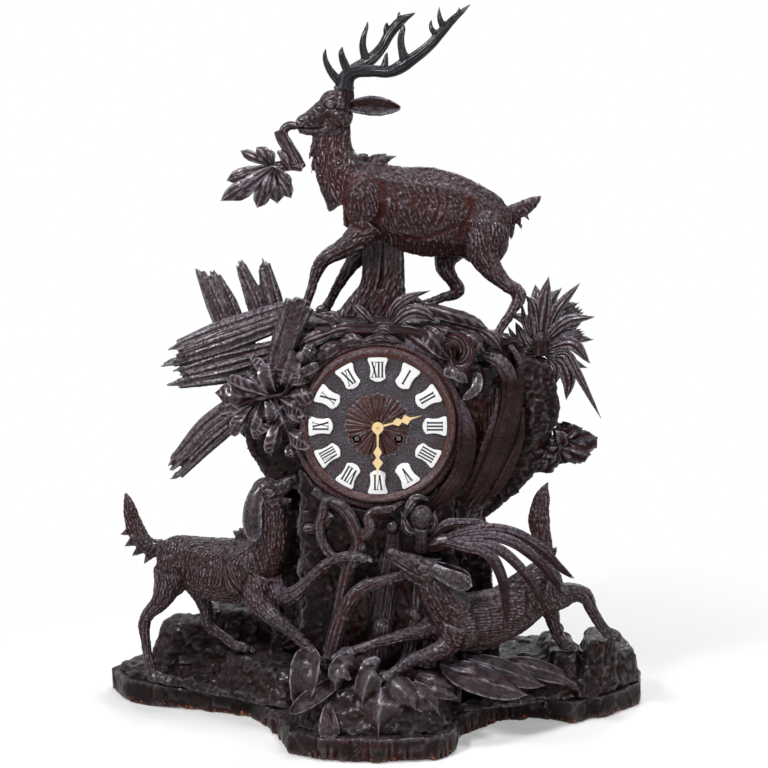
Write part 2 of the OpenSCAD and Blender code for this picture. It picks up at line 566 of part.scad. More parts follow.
module reeds_over_hound() translate(knot_at) {
    chain([[-10, 4, -4, 8], [0, 0, 0, 9], [14, -4, 4, 8]]);
    for (t = [[[30, -14, 14], [62, -22, 17], [94, -22, 2], [118, -18, -22], [130, -14, -32], 6],
        [[30, -16, 9], [60, -26, 10], [88, -28, -6], [110, -22, -32], [119, -18, -46], 6],
        [[28, -18, 4], [52, -28, 2], [76, -32, -16], [94, -32, -42], [102, -30, -58], 6],
        [[26, -20, 0], [46, -30, -4], [58, -34, -22], [63, -36, -48], [65, -34, -74], 6.5]])
        chain([[2, -2, 2, 6], concat(t[0], t[5]), concat(t[1], t[5]), concat(t[2], t[5] - 0.5),
            concat(t[3], t[5] - 2), concat(t[4], 1)], 0.8);
    chain([[-6, -4, 8, 5], [10, -10, 20, 6], [34, -12, 22, 5], [56, -8, 18, 1.5]], 0.7);
    chain([[-10, 8, 2, 6], [-8, 12, -10, 6]]);
}
module arching_reeds() color(walnut) difference() {
    reeds_over_hound();
    span(0, right_x, case_y, 200, 0, 900);
    at_dial(case_y + 1) translate([0, dial_z, 0]) cylinder(r = ring_r + 0.3, h = 60);
    curved_reeds();
    right_crag();
    leaping_hound();
    base_rocks();
}
// Roots that climb the front board to the dial, with a seed head in its cup
roots_rise = dial_up / 250;
module roots_form() translate([0, 0, case_z]) scale([1, 1, roots_rise]) {
    chain([[-62, -66, 186, 5], [-48, -70, 176, root_r], [-34, -74, 170, root_r + 1],
        [-22, -76, 150, root_r + 1], [-18, -76, 134, root_r + 2], [-26, -76, 118, root_r + 2],
        [-34, -78, 88, root_r + 1], [-40, -80, 60, root_r], [-48, -84, 30, root_r]]);
    chain([[-50, -72, 178, 5], [-56, -76, 150, root_r - 1], [-50, -76, 130, root_r - 1], [-30, -76, 112, 5]]);
    chain([[-70, -68, 148, 5], [-58, -72, 150, 5], [-44, -74, 164, 4]]);
    chain([[-18, -76, 140, root_r], [-8, -82, 150, root_r], [-8, -80, 164, 5], [14, -76, 170, 4],
        [26, -72, 176, 3]]);
    chain([[-46, -84, 24, root_r + 2], [-34, -88, 66, root_r + 2], [-16, -92, 94, root_r + 1],
        [10, -82, 100, root_r], [34, -72, 104, root_r]]);
    chain([[-40, -80, 50, root_r + 1], [-30, -72, 20, root_r + 4], [-10, -70, 6, root_r + 5]]);
    chain([[40, -66, 120, 7], [38, -66, 60, 9], [26, -70, 10, 10]]);
    chain([[55, -66, 120, 8], [52, -64, 60, 10], [48, -68, 10, 11]]);
    chain([[16, -66, 150, 8], [10, -66, 100, 12], [2, -66, 50, 14], [-2, -66, 8, 14]], 0.6);
}
seed_at = [42, -84, dial_z - 87];
module twisted_roots() color(walnut) difference() {
    union() {
        roots_form();
        translate(seed_at) {
            sphere(seed_r, $fn = 10);
            chain([[0, 0, -10, 8], [0, 2, -20, 6], [0, 8, -34, 6]]);
            chain([[6, 14, 16, 4], [-2, 8, 18, 4], [-14, 2, 12, 4.5], [-19, 0, -3, 4.5], [-12, 2, -18, 4],
                [-8, 8, -34, 4]]);
            chain([[0, 20, -8, 8], [0, 2, -2, 5]]);
        }
    }
    span(left_x - 20, right_x + 20, case_y, 200, 0, top_z);
    at_dial(case_y + 1) translate([0, dial_z, 0]) cylinder(r = ring_r + 0.3, h = ring_t + 1.3);
    front_mound();
    base_rocks();
    plinth_box();
    base_leaves();
    curved_reeds();
    reeds_over_hound();
    leaping_hound();
    standing_hound();
}

// The stag, drawn from the level its hooves stand on; its antlers join it at antler_z
antler_z = 217;
function antler_x(s) = s < 0 ? -33 : -39;
module stag_form() translate([0, 0, stand_z]) {
    chain([[-24, 0, 112, 36], [8, 0, 109, 41], [40, 0, 107, 42], [71, 0, 104, 40], [98, 0, 97, 34],
        [116, 0, 84, 27]], 0.62, 8);
    chain([[-26, 0, 122, 36], [-36, 0, 152, 27], [-43, 0, 180, 19.5], [-41, 0, 202, 15]], 0.68, 8);
    chain([[-37, 0, 202, 14], [-52, 0, 197, 11], [-66, 0, 192, 8], [-76, 0, 190, 6.5]], 0.8);
    for (s = [-1, 1]) chain([[antler_x(s), 6 * s, 202, 9], [antler_x(s), 8 * s, antler_z + 6, 7]]);
    chain([[-31, -7, 206, 6], [-4, -15, 204, 9], [20, -17, 204, 1.5]], 0.4);
    chain([[-31, 7, 206, 6], [-8, 20, 202, 8], [4, 28, 196, 1.5]], 0.4);
    for (t = [[-77, 125, 8], [-72, 140, 8], [-68, 152, 7], [-74, 116, 7], [-12, 158, 7], [-58, 108, 9]])
        chain([[t[0] * 0.72 - 6, 0, t[1] + 10, 11], [t[0], 0, t[1], 3]], 0.7);
    chain([[-12, -12, 94, 20], [-24, -16, 76, 13], [-42, -16, 66, 9], [-55, -16, 55, 7], [-64, -16, 30, 5],
        [-70, -16, 16, 4.5], [-76, -16, 5, 6]], 0.9);
    chain([[-10, 10, 90, 18], [-14, 14, 68, 11], [-28, 14, 48, 7], [-44, 14, 23, 5], [-49, 14, 12, 4.5],
        [-55, 14, 5, 5.5]], 0.9);
    chain([[104, -12, 90, 25], [102, -19, 68, 18], [110, -25, 50, 10.5], [124, -30, 34, 6.5],
        [135, -33, 23, 6], [128, -38, 8, 4.8], [110, -43, -22, 4.5], [104, -45, -32, 4.5],
        [99, -47, -36, 6]], 0.9);
    chain([[84, 8, 84, 24], [70, 14, 66, 15], [68, 14, 48, 9], [78, 14, 27, 6], [77, 14, 22, 5.5],
        [62, 14, 15, 4.5], [45, 14, 9, 4.5], [36, 14, 5, 5.5]], 0.9);
    chain([[130, 0, 103, 8], [146, 0, 108, 8], [160, 0, 118, 2]], 0.6);
}
module stag() color(walnut) difference() {
    stag_form();
    span(-120, 70, -30, 60, 0, stand_z);
    span(right_x + 2, right_x + 60, -70, -20, 0, hoof_z);
    span(-30, 50, -9.2, 7.2, stand_z - 10, stump_z);
    span(-60, -10, -30, 30, stand_z + antler_z, stand_z + 260);
}
module antlers() color(walnut) difference() {
    translate([0, 0, stand_z]) for (s = [-1, 1]) {
        dx = antler_x(s) + 33;
        chain([[-33 + dx, 8 * s, 213, 6.5], [-28 + dx, 16 * s, 232, 5.5], [-6 + dx, 30 * s, 236, 5.5],
            [10 + dx, 38 * s, 239, 5], [30 + dx, 42 * s, 250, 5], [49 + dx, 42 * s, 268, 4.5],
            [68 + dx, 38 * s, 285, 3], [86 + dx, 32 * s, 300, 1.2]]);
        chain([[-30 + dx, 14 * s, 225, 4.5], [-40 + dx, 20 * s, 238, 3.5], [-37 + dx, 18 * s, 264, 1]]);
        chain([[-6 + dx, 30 * s, 236, 4.5], [4 + dx, 30 * s, 246, 3], [7 + dx, 26 * s, 258, 1]]);
        chain([[10 + dx, 38 * s, 239, 4.5], [21 + dx, 40 * s, 262, 3.5], [19 + dx, 36 * s, 285, 1]]);
        chain([[32 + dx, 42 * s, 252, 4.5], [44 + dx, 44 * s, 270, 3], [46 + dx, 40 * s, 287, 1]]);
        chain([[50 + dx, 42 * s, 269, 4], [56 + dx, 46 * s, 284, 2.5], [56 + dx, 42 * s, 297, 1]]);
    }
    translate([0, 0, stand_z + antler_z - 100]) cube([400, 400, 200], center = true);
}
module mouth_branch() color(walnut) difference() {
    union() translate([0, 0, stand_z]) {
        chain([[-81, -4, 192, 4], [-90, -9, 182, 6], [-84, -11, 166, 7], [-77, -12, 150, 6],
            [-80, -12, 138, 4]]);
        chain([[-100, -4, 182, 4], [-98, -8, 168, 6], [-90, -10, 154, 6.5], [-84, -12, 142, 5]]);
        chain([[-92, -12, 150, 6], [-104, -14, 143, 6], [-116, -14, 142, 4]]);
        for (t = [[-134, 164, 16], [-120, 170, 15], [-108, 168, 14], [-152, 120, 18], [-142, 112, 18],
            [-146, 134, 16], [-120, 110, 20], [-99, 112, 18], [-82, 118, 14], [-128, 150, 16]])
            leaf([-96 + (t[0] + 96) * 0.15, -13, 144 + (t[1] - 144) * 0.15], [t[0], -16, t[1]], t[2]);
        for (t = [[-128, 128, 16], [-112, 122, 16], [-118, 156, 14]])
            leaf([-100, -18, 143], [t[0], -24, t[1]], t[2]);
    }
    stag_form();
}

// The hounds, drawn from the turf
module standing_hound() color(walnut) difference() {
    translate([left_x + 75, 0, turf_z]) {
        chain([[-214, -4, 125, 23], [-190, -8, 126, 27], [-166, -14, 120, 32], [-138, -24, 122, 30],
            [-112, -33, 124, 28]], 0.66, 8);
        chain([[-112, -36, 132, 25], [-101, -42, 162, 16], [-104, -45, 187, 14], [-108, -46, 205, 14]], 0.8);
        chain([[-110, -46, 207, 13], [-97, -48, 213, 10], [-87, -50, 217, 6.5], [-82, -50, 220, 4.5]], 0.9);
        chain([[-99, -48, 204, 7], [-86, -50, 202, 4], [-81, -50, 200, 2.5]]);
        chain([[-113, -54, 214, 6], [-124, -60, 192, 9], [-121, -61, 165, 4]], 0.45);
        chain([[-222, -2, 134, 7], [-238, 0, 144, 8], [-248, 2, 162, 10], [-254, 2, 178, 6],
            [-256, 2, 187, 1.5]], 0.6);
        chain([[-211, -13, 117, 18], [-215, -11, 99, 13.5], [-224, -8, 82, 8.5], [-238, -5, 66, 5.5],
            [-237, -5, 43, 4.5], [-234, -5, 21, 4.5], [-228, -7, 5.5, 6.5]]);
        chain([[-192, 6, 108, 15], [-183, 10, 92, 10.5], [-175, 13, 70, 6.5], [-175, 13, 55, 5],
            [-158, 11, 42, 4.5], [-146, 10, 31, 6]]);
        chain([[-116, -42, 116, 16], [-122, -52, 100, 10], [-106, -62, 87, 6.5], [-84, -71, 73, 5],
            [-68, -74, 57, 4.8], [-60, -75, 45, 6]]);
        chain([[-104, -36, 106, 12], [-90, -56, 105, 7.5], [-78, -73, 117, 5.5], [-54, -76, 139, 4.8],
            [-38, -80, 151, 4.5], [-22, -86, 153, 5]]);
    }
    base_rocks();
    linear_extrude(base_t) square(900, center = true);
    plinth_box();
    span(left_x - 0.5, right_x, case_y - 0.5, rear_y, case_z, top_z);
    left_crag();
}
module hound_leap() translate([right_x - 75, 0, turf_z]) {
    chain([[68, -75, 80, 25], [98, -68, 80, 26.5], [124, -62, 87, 24], [150, -52, 105, 24],
        [164, -46, 116, 22]], 0.72, 8);
    chain([[66, -78, 96, 18], [53, -86, 118, 13], [46, -89, 135, 12.5]], 0.9);
    chain([[42, -90, 139, 12.5], [28, -92, 145, 9], [18, -93, 153, 5.5], [13, -93, 158, 4]], 0.85);
    chain([[50, -100, 142, 4.5], [70, -103, 136, 8.5], [90, -101, 127, 6]], 0.5);
    chain([[74, -88, 80, 14], [66, -94, 64, 8.5], [50, -97, 59, 6.5], [34, -101, 55, 5], [20, -106, 46, 4.5],
        [8, -108, 38.5, 5.5]]);
    chain([[60, -70, 77, 12], [41, -76, 73, 7], [20, -83, 71, 5], [0, -88, 66, 4.5], [-17, -93, 62, 4.5],
        [-29, -95, 58, 5.5]]);
    chain([[156, -56, 110, 20], [172, -52, 102, 13], [194, -46, 105, 8.5], [201, -44, 103, 6.8],
        [212, -39, 85, 5], [225, -36, 65, 4.8], [236, -34, 57, 6]]);
    chain([[162, -36, 96, 13], [174, -28, 79, 7], [179, -26, 61, 5], [184, -26, 49, 4.8],
        [190, -27, 44.5, 5.5]]);
    chain([[168, -38, 122, 7], [166, -34, 146, 8], [161, -30, 172, 12], [165, -28, 195, 7.5],
        [170.5, -28, 215, 1.5]], 0.6);
}
module leaping_hound() color(walnut) difference() {
    hound_leap();
    base_rocks();
    front_mound();
    base_leaves();
    span(0, right_x + 0.5, case_y - 0.3, rear_y, 0, top_z);
    plinth_box(0.3);
    right_crag();
}

// Dial
winding_hole_r = square_w * 0.72 + 1.4;
module winding_holes(y0, y1) for (p = [going_at, strike_at]) rod(p, winding_hole_r, y0, y1);
module dial_ring() color(walnut) translate([0, case_y, dial_z]) rotate([90, 0, 0]) rotate_extrude($fn = 96)
    polygon([[dial_r + 0.3, 0], [ring_r, 0], [ring_r, ring_t - 3], [ring_r - 3, ring_t],
        [lip_r, ring_t], [lip_r, ring_t + lip_t - 2], [lip_r - 2, ring_t + lip_t],
        [dial_r + 2, ring_t + lip_t], [dial_r + 0.3, ring_t + lip_t - 2]]);
module dial_plate() color(dark_oak) difference() {
    rod(centre_at, dial_r, dial_y, case_y);
    rod(centre_at, hour_pipe_r + 1, dial_y - 1, case_y + 1);
    winding_holes(dial_y - 1, case_y + 1);
}
// One edge of a plaque along the radius, in plaque lengths, mirrored for the other
plaque_edge = [[-0.46, 0], [-0.5, 0.28], [-0.34, 0.36], [-0.2, 0.33], [0.12, 0.34], [0.34, 0.46],
    [0.44, 0.42], [0.5, 0]];
module numeral_plaques() color(enamel) at_dial(dial_y) translate([0, dial_z, 0])
    for (i = [0:11]) rotate(30 * i) translate([plaque_at, 0, 0]) linear_extrude(plaque_t)
        polygon(plaque_l * concat(plaque_edge, [for (k = [6:-1:1]) [plaque_edge[k][0], -plaque_edge[k][1]]]));
// Twelve pointed petals round the middle
module petals(r) polygon([for (i = [0:11], p = [[0.62, -12], [0.86, -8], [1, 0], [0.86, 8]])
    r * p[0] * [cos(30 * i + p[1]), sin(30 * i + p[1])]]);
module dial_rosette() color(walnut) difference() {
    union() {
        for (s = [[0, 1, rosette_t / 2], [15, 0.9, rosette_t]])
            plate(dial_y - s[2], dial_y) translate(centre_at) rotate(s[0]) petals(rosette_r * s[1]);
    }
    rod(centre_at, hour_pipe_r + 1, dial_y - rosette_t - 5, dial_y + 5);
    winding_holes(dial_y - rosette_t - 5, dial_y + 5);
}

// Movement frame
pillar_at = [for (s = [-1, 1], h = [-43, 50]) [s * (plate_w / 2 - 7), dial_z + h]];
pillar_r = 3.5;
pillar_end_r = 2;
nut_r = 3.8;
nut_t = 2.7;
module plate_blank(y0, y1) span(-plate_w / 2, plate_w / 2, y0, y1, dial_z - plate_low, dial_z + plate_high);
train_arbors = [centre_at, third_at, escape_at, pin_at, lock_at, fly_at];
module front_plate() color(brass) {
    difference() {
        plate_blank(board_y, board_y + plate_t);
        for (p = train_arbors) if (p != centre_at) rod(p, pivot_hole(), board_y - 1, board_y + 9);
        rod(centre_at, arbor_r + fit_gap, board_y - 1, board_y + 9);
        rod(anchor_at, pivot_hole(), board_y - 1, board_y + 9);
        rod(hammer_at, pivot_hole(), board_y - 1, board_y + 9);
        for (p = [going_at, strike_at]) rod(p, winding_r + fit_gap, board_y - 1, board_y + 9);
        for (p = screw_at) rod(p, screw_r + fit_gap, board_y - 1, board_y + 9);
        for (p = pillar_at) rod(p, pillar_end_r + fit_gap, board_y - 1, board_y + 9);
    }
    rod(minute_at, 1, board_y - 10.5, board_y + 0.5);
}
module back_plate() color(brass) difference() {
    plate_blank(back_y, back_y + plate_t);
    for (p = train_arbors) rod(p, pivot_hole(), back_y - 1, back_y + 9);
    rod(anchor_at, arbor_r + fit_gap, back_y - 1, back_y + 9);
    rod(hammer_at, arbor_r + fit_gap, back_y - 1, back_y + 9);
    for (p = [going_at, strike_at]) rod(p, winding_r * 0.7 + fit_gap, back_y - 1, back_y + 9);
    for (p = pillar_at) rod(p, pillar_end_r + fit_gap, back_y - 1, back_y + 9);
    for (s = [-1, 1]) rod([s * 6, anchor_at[1] + 8], 1 + fit_gap, back_y - 1, back_y + 9);
    rod(bell_foot, 2 + fit_gap, back_y - 1, back_y + 9);
}
module plate_pillars() color(brass) for (p = pillar_at) {
    rod(p, pillar_end_r, board_y + 0.1, back_y + plate_t + nut_t + 0.8);
    rod(p, pillar_r, board_y + plate_t, back_y);
    difference() {
        translate([p[0], back_y + plate_t + nut_t, p[1]]) rotate([90, 0, 0])
            cylinder(r = nut_r, h = nut_t - 0.1, $fn = 6);
        rod(p, pillar_end_r + fit_gap, back_y, back_y + plate_t + 9);
    }
}
module movement_screws() color(steel) for (p = screw_at) {
    rod(p, screw_r, board_y - 7.5, board_y + plate_t + 0.5);
    difference() {
        rod(p, 3, board_y + plate_t + 0.1, board_y + plate_t + 2.2);
        span(p[0] - 4, p[0] + 4, board_y + plate_t + 1.4, board_y + plate_t + 3, p[1] - 0.4, p[1] + 0.4);
    }
}

// Spring barrels and their winding arbors
winding_r = 3;
drum_y = board_y + plate_t + 3.5;
great_t = 2.5;
drum_l = plate_gap - 14;
module barrel(at, pinion_at, wheel_y) difference() {
    union() {
        rod(at, barrel_r, drum_y, drum_y + drum_l);
        wheel(at, great_n, great_m, towards(at, pinion_at), wheel_y, wheel_y + great_t);
    }
    rod(at, winding_r + fit_gap, drum_y - 1, drum_y + drum_l + great_t + 1);
    difference() {
        rod(at, barrel_r - 1.5, drum_y + 2, drum_y + drum_l - 2);
        rod(at, winding_r + fit_gap, drum_y, drum_y + drum_l);
    }
}
module winding_arbor(at) {
    rod(at, winding_r, board_y + 0.1, back_y - 0.3);
    rod(at, winding_r * 0.7, back_y - 1, back_y + plate_t + 0.5);
    span(at[0] - square_w / 2, at[0] + square_w / 2, dial_y + 1, board_y + 0.6,
        at[1] - square_w / 2, at[1] + square_w / 2);
}
rear_wheel_y = drum_y + drum_l;
module going_barrel() color(brass) barrel(going_at, centre_at, rear_wheel_y);
module strike_barrel() color(brass) barrel(strike_at, pin_at, drum_y);
module going_arbor() color(steel) winding_arbor(going_at);
module strike_arbor() color(steel) winding_arbor(strike_at);

// Going train
centre_wheel_y = rear_wheel_y + great_t + 1;
third_wheel_y = drum_y + drum_l - 6;
module centre_wheel() color(brass) {
    wheel(centre_at, centre_n, train_m, towards(centre_at, third_at),
        centre_wheel_y, centre_wheel_y + wheel_t);
    wheel(centre_at, drive_n, great_m, towards(centre_at, going_at) + 180 / drive_n,
        rear_wheel_y - 0.5, centre_wheel_y + 0.5);
    rod(centre_at, arbor_r, hand_y - 4.6, back_y - 0.2);
    rod(centre_at, arbor_r * 0.7, back_y - 1, back_y + plate_t - 0.2);
}
module third_wheel() color(brass) {
    wheel(third_at, third_n, train_m, towards(third_at, escape_at), third_wheel_y, third_wheel_y + wheel_t);
    wheel(third_at, leaf_n, train_m, towards(third_at, centre_at) + 180 / leaf_n,
        centre_wheel_y - 1, centre_wheel_y + wheel_t + 1);
    arbor(third_at, 1.2);
}
escape_y = centre_wheel_y + wheel_t + 1.2;
module escape_wheel() color(brass) {
    plate(escape_y, escape_y + wheel_t) translate(escape_at) polygon([for (i = [0:29], k = [0, 1])
        (k == 0 ? escape_r : escape_r - 2.2) * [cos(12 * i + k * 3), sin(12 * i + k * 3)]]);
    wheel(escape_at, leaf_n, train_m, towards(escape_at, third_at) + 180 / leaf_n,
        third_wheel_y - 1, third_wheel_y + wheel_t + 1);
    arbor(escape_at, 1.2);
}
module anchor() color(steel) {
    plate(escape_y, escape_y + wheel_t) translate(anchor_at) difference() {
        union() for (s = [-1, 1]) {
            polygon([[0, 3], [s * 12, 0], [s * 14, -7.6], [s * 12, -7.4], [s * 10, -2.5], [0, -2.5]]);
            circle(3);
        }
        circle(arbor_r * 0.5);
    }
    rod(anchor_at, arbor_r, board_y + plate_t + 0.2, back_y + plate_t + 2);
    rod(anchor_at, arbor_r * 0.7, board_y + 0.2, back_y + 1);
    span(-1.3, 1.3, back_y + plate_t + 0.6, back_y + plate_t + 2, anchor_at[1] - 36, anchor_at[1]);
    for (s = [-1, 1]) span(min(s * 1.9, s * 3.3), max(s * 1.9, s * 3.3), back_y + plate_t + 0.6,
        swing_y + 3, anchor_at[1] - 36, anchor_at[1] - 34);
    span(-3.3, 3.3, back_y + plate_t + 0.6, back_y + plate_t + 2, anchor_at[1] - 36, anchor_at[1] - 34);
}

// Pendulum
cock_z = anchor_at[1] + 6;
module suspension_cock() color(brass) {
    difference() {
        span(-10, 10, back_y + plate_t, swing_y + 4, cock_z, cock_z + 4);
        span(-0.4, 0.4, swing_y - 3.2, swing_y + 5, cock_z - 1, cock_z + 2.8);
    }
    for (s = [-1, 1]) rod([s * 6, anchor_at[1] + 8], 1, back_y + 0.1, back_y + plate_t + 1);
}
rod_top_z = anchor_at[1] - 7;
bob_z = anchor_at[1] - pendulum_l;
rod_low_z = bob_z - bob_r - 10;
module suspension_spring() color(steel)
    span(-0.15, 0.15, swing_y - 2.5, swing_y + 2.5, rod_top_z + 0.01, cock_z - 0.3);
module pendulum_rod() color(steel) {
    translate([0, swing_y, rod_low_z]) cylinder(r = arbor_r, h = rod_top_z - rod_low_z - 4);
    span(-arbor_r, arbor_r, swing_y - 3, swing_y + 3, rod_top_z - 5, rod_top_z);
}
module pendulum_bob() color(brass) difference() {
    translate([0, swing_y, bob_z]) rotate([90, 0, 0]) rotate_extrude($fn = 72)
        polygon([[0, -bob_t / 2], [bob_r * 0.6, -bob_t * 0.42], [bob_r, -1], [bob_r, 1],
            [bob_r * 0.6, bob_t * 0.42], [0, bob_t / 2]]);
    translate([0, swing_y, rod_low_z]) cylinder(r = arbor_r + fit_gap, h = 90);
}
rating_z = bob_z - bob_r - 5;
module rating_nut() color(brass) difference() {
    translate([0, swing_y, rating_z]) cylinder(r = 5, h = 4.7);
    translate([0, swing_y, rating_z - 1]) cylinder(r = arbor_r + fit_gap, h = 9);
}

// Striking train, hammer and bell
pin_wheel_y = board_y + plate_t + 1.1;
lock_wheel_y = board_y + plate_t + 14.5;
module pin_wheel() color(brass) {
    wheel(pin_at, pin_n, train_m, towards(pin_at, lock_at), pin_wheel_y, pin_wheel_y + 1.3);
    wheel(pin_at, drive_n, great_m, towards(pin_at, strike_at) + 180 / drive_n,
        pin_wheel_y + 1, drum_y + great_t + 0.5);
    for (i = [0:7]) rod(step(pin_at, 9.5, 45 * i), 0.5, pin_wheel_y + 1, pin_wheel_y + 2.1);
    arbor(pin_at, 1.2);
}
module locking_wheel() color(brass) {
    wheel(lock_at, lock_n, train_m, towards(lock_at, fly_at), lock_wheel_y, lock_wheel_y + wheel_t);
    wheel(lock_at, strike_n, train_m, towards(lock_at, pin_at) + 180 / strike_n,
        pin_wheel_y - 0.5, pin_wheel_y + 2.2);
    arbor(lock_at, 1);
}
module fly() color(brass) {
    wheel(fly_at, strike_n, train_m, towards(fly_at, lock_at) + 180 / strike_n,
        lock_wheel_y - 1, lock_wheel_y + wheel_t + 1);
    span(fly_at[0] - 7.5, fly_at[0] + 7.5, lock_wheel_y - 12, lock_wheel_y - 3,
        fly_at[1] - 0.4, fly_at[1] + 0.4);
    arbor(fly_at, 1);
}
head_at = bell_at + (bell_r + 4.8) * [-cos(8), sin(8)];
module hammer() color(steel) {
    arbor(hammer_at, arbor_r);
    rod(hammer_at, arbor_r, back_y - 1, bell_y + 6);
    rod(hammer_at, 3, bell_y + 3, bell_y + 6);
    plate(bell_y + 3.4, bell_y + 5.6) polygon([hammer_at + [-1, 0], hammer_at + [1, 0],
        head_at + [1, 0], head_at + [-1, 0]]);
    rod(head_at, 4, bell_y, bell_y + 9);
    plate(pin_wheel_y + 1.6, pin_wheel_y + 2.8) polygon([hammer_at + [-1.5, 0], hammer_at + [1.5, 0],
        [pin_at[0] - 10, pin_at[1] + 12], [pin_at[0] - 12, pin_at[1] + 12]]);
}
module bell() color(brass) translate([bell_at[0], bell_y, bell_at[1]]) rotate([-90, 0, 0])
    rotate_extrude($fn = 96) polygon([[2 + fit_gap, bell_d], [12, bell_d], [24, bell_d - 4],
        [bell_r - 5, bell_d - 12], [bell_r - 1.5, 4], [bell_r, 0], [bell_r - 2, 0], [bell_r - 3.6, 4],
        [bell_r - 7, bell_d - 13], [23, bell_d - 6], [12, bell_d - 2], [2 + fit_gap, bell_d - 2]]);
arm_y = bell_y - 5;
module bell_stand() color(brass) {
    rod(bell_foot, 2, back_y + 0.1, arm_y + 1);
    rod(bell_foot, 3.6, back_y + plate_t, back_y + plate_t + 3);
    plate(arm_y, arm_y + 3) polygon([bell_foot + [-2.5, -2.5], bell_foot + [2.5, -2.5], bell_at + [2.5, 3],
        bell_at + [-2.5, 3], bell_at + [-2.5, -3]]);
    rod(bell_at, 4, arm_y, bell_y + bell_d - 2);
    rod(bell_at, 2, arm_y, bell_y + bell_d + 4);
    difference() {
        rod(bell_at, 4, bell_y + bell_d + 0.05, bell_y + bell_d + 3);
        rod(bell_at, 2 + fit_gap, bell_y, bell_y + bell_d + 9);
    }
}

// Motion work and hands
module cannon_pinion() color(brass) difference() {
    union() {
        wheel(centre_at, cannon_n, cannon_m, towards(centre_at, minute_at), board_y - 5.5, board_y - 1);
        rod(centre_at, pipe_r, hand_y - 3, board_y - 1);
    }
    rod(centre_at, arbor_r + 0.02, hand_y - 9, board_y + 1);
}
module minute_wheel() color(brass) difference() {
    union() {
        wheel(minute_at, minute_n, cannon_m, towards(minute_at, centre_at) + 180 / minute_n,
            board_y - 4.5, board_y - 3);
        rod(minute_at, 1.8, board_y - 10, board_y - 1);
        wheel(minute_at, leaf_n, hour_m, towards(minute_at, centre_at), board_y - 9.8, board_y - 5.6);
    }
    rod(minute_at, 1 + fit_gap, board_y - 20, board_y + 1);
}
module hour_wheel() color(brass) difference() {
    union() {
        wheel(centre_at, hour_n, hour_m, towards(centre_at, minute_at) + 180 / hour_n,
            board_y - 8.5, board_y - 7);
        rod(centre_at, hour_pipe_r, hand_y + 0.02, board_y - 6.2);
    }
    rod(centre_at, pipe_r + fit_gap, hand_y - 9, board_y + 1);
}
hand_t = 1;
function swing(points, turn) = [for (p = points) [p[0] * cos(turn) + p[1] * sin(turn),
    p[1] * cos(turn) - p[0] * sin(turn)]];
half_hand = [[3.5, 4], [1, 7], [0.8, 18], [4, 24], [1.2, 29], [5, 34], [1.4, 39], [0.7, 44], [0, 54]];
module hand(scale_l, turn, y, bore) plate(y - hand_t, y) translate(centre_at) difference() {
    union() {
        polygon(swing(concat([for (p = half_hand) [p[0], p[1] * scale_l]],
            [for (i = [len(half_hand) - 2:-1:0]) [-half_hand[i][0], half_hand[i][1] * scale_l]]), turn));
        circle(5.5);
    }
    circle(bore);
}
module hour_hand() color(brass) hand(0.82, 75, hand_y + 1, hour_pipe_r + 0.02);
module minute_hand() color(brass) {
    hand(1, 180, hand_y - 1.6, pipe_r + 0.02);
    difference() {
        rod(centre_at, 3, hand_y - 4.4, hand_y - 3.02);
        rod(centre_at, arbor_r + 0.02, hand_y - 9, hand_y + 9);
    }
}

base_slab();
base_rocks();
base_leaves();
front_board();
side_boards();
top_board();
floor_board();
rear_door();
hinge_case_leaves();
hinge_door_leaves();
door_button();
left_crag();
right_crag();
top_ledge();
tree_stump();
top_foliage();
splintered_logs();
left_leaf_spray();
reed_tuft();
right_leaf_cluster();
curved_reeds();
arching_reeds();
twisted_roots();
stag();
antlers();
mouth_branch();
standing_hound();
leaping_hound();
dial_ring();
dial_plate();
numeral_plaques();
dial_rosette();
front_plate();
back_plate();
plate_pillars();
movement_screws();
going_barrel();
going_arbor();
strike_barrel();
strike_arbor();
centre_wheel();
third_wheel();
escape_wheel();
anchor();
suspension_cock();
suspension_spring();
pendulum_rod();
pendulum_bob();
rating_nut();
pin_wheel();
locking_wheel();
fly();
hammer();
bell();
bell_stand();
cannon_pinion();
minute_wheel();
hour_wheel();
hour_hand();
minute_hand();
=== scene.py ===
import math
import random

import bpy
import numpy as np
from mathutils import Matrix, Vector
from mathutils.kdtree import KDTree


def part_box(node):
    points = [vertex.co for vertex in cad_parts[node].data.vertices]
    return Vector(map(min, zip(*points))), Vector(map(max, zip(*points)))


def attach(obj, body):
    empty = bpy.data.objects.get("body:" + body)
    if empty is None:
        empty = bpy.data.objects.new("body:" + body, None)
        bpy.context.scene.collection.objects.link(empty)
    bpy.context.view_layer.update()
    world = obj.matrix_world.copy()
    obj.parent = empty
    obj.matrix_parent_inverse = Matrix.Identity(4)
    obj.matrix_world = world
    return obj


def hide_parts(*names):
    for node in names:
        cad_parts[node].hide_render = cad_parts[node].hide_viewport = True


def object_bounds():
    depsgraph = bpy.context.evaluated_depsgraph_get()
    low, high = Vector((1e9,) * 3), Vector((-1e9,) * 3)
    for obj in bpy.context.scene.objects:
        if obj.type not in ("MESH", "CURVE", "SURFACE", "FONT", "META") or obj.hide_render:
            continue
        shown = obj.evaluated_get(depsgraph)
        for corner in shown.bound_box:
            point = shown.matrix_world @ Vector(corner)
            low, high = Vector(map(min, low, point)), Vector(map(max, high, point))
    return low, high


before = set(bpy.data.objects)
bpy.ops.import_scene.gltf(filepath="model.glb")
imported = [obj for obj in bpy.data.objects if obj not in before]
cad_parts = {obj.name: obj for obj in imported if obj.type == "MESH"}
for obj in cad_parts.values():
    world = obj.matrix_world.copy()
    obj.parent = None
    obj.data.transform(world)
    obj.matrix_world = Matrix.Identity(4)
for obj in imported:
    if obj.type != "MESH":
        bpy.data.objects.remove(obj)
cad_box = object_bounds()

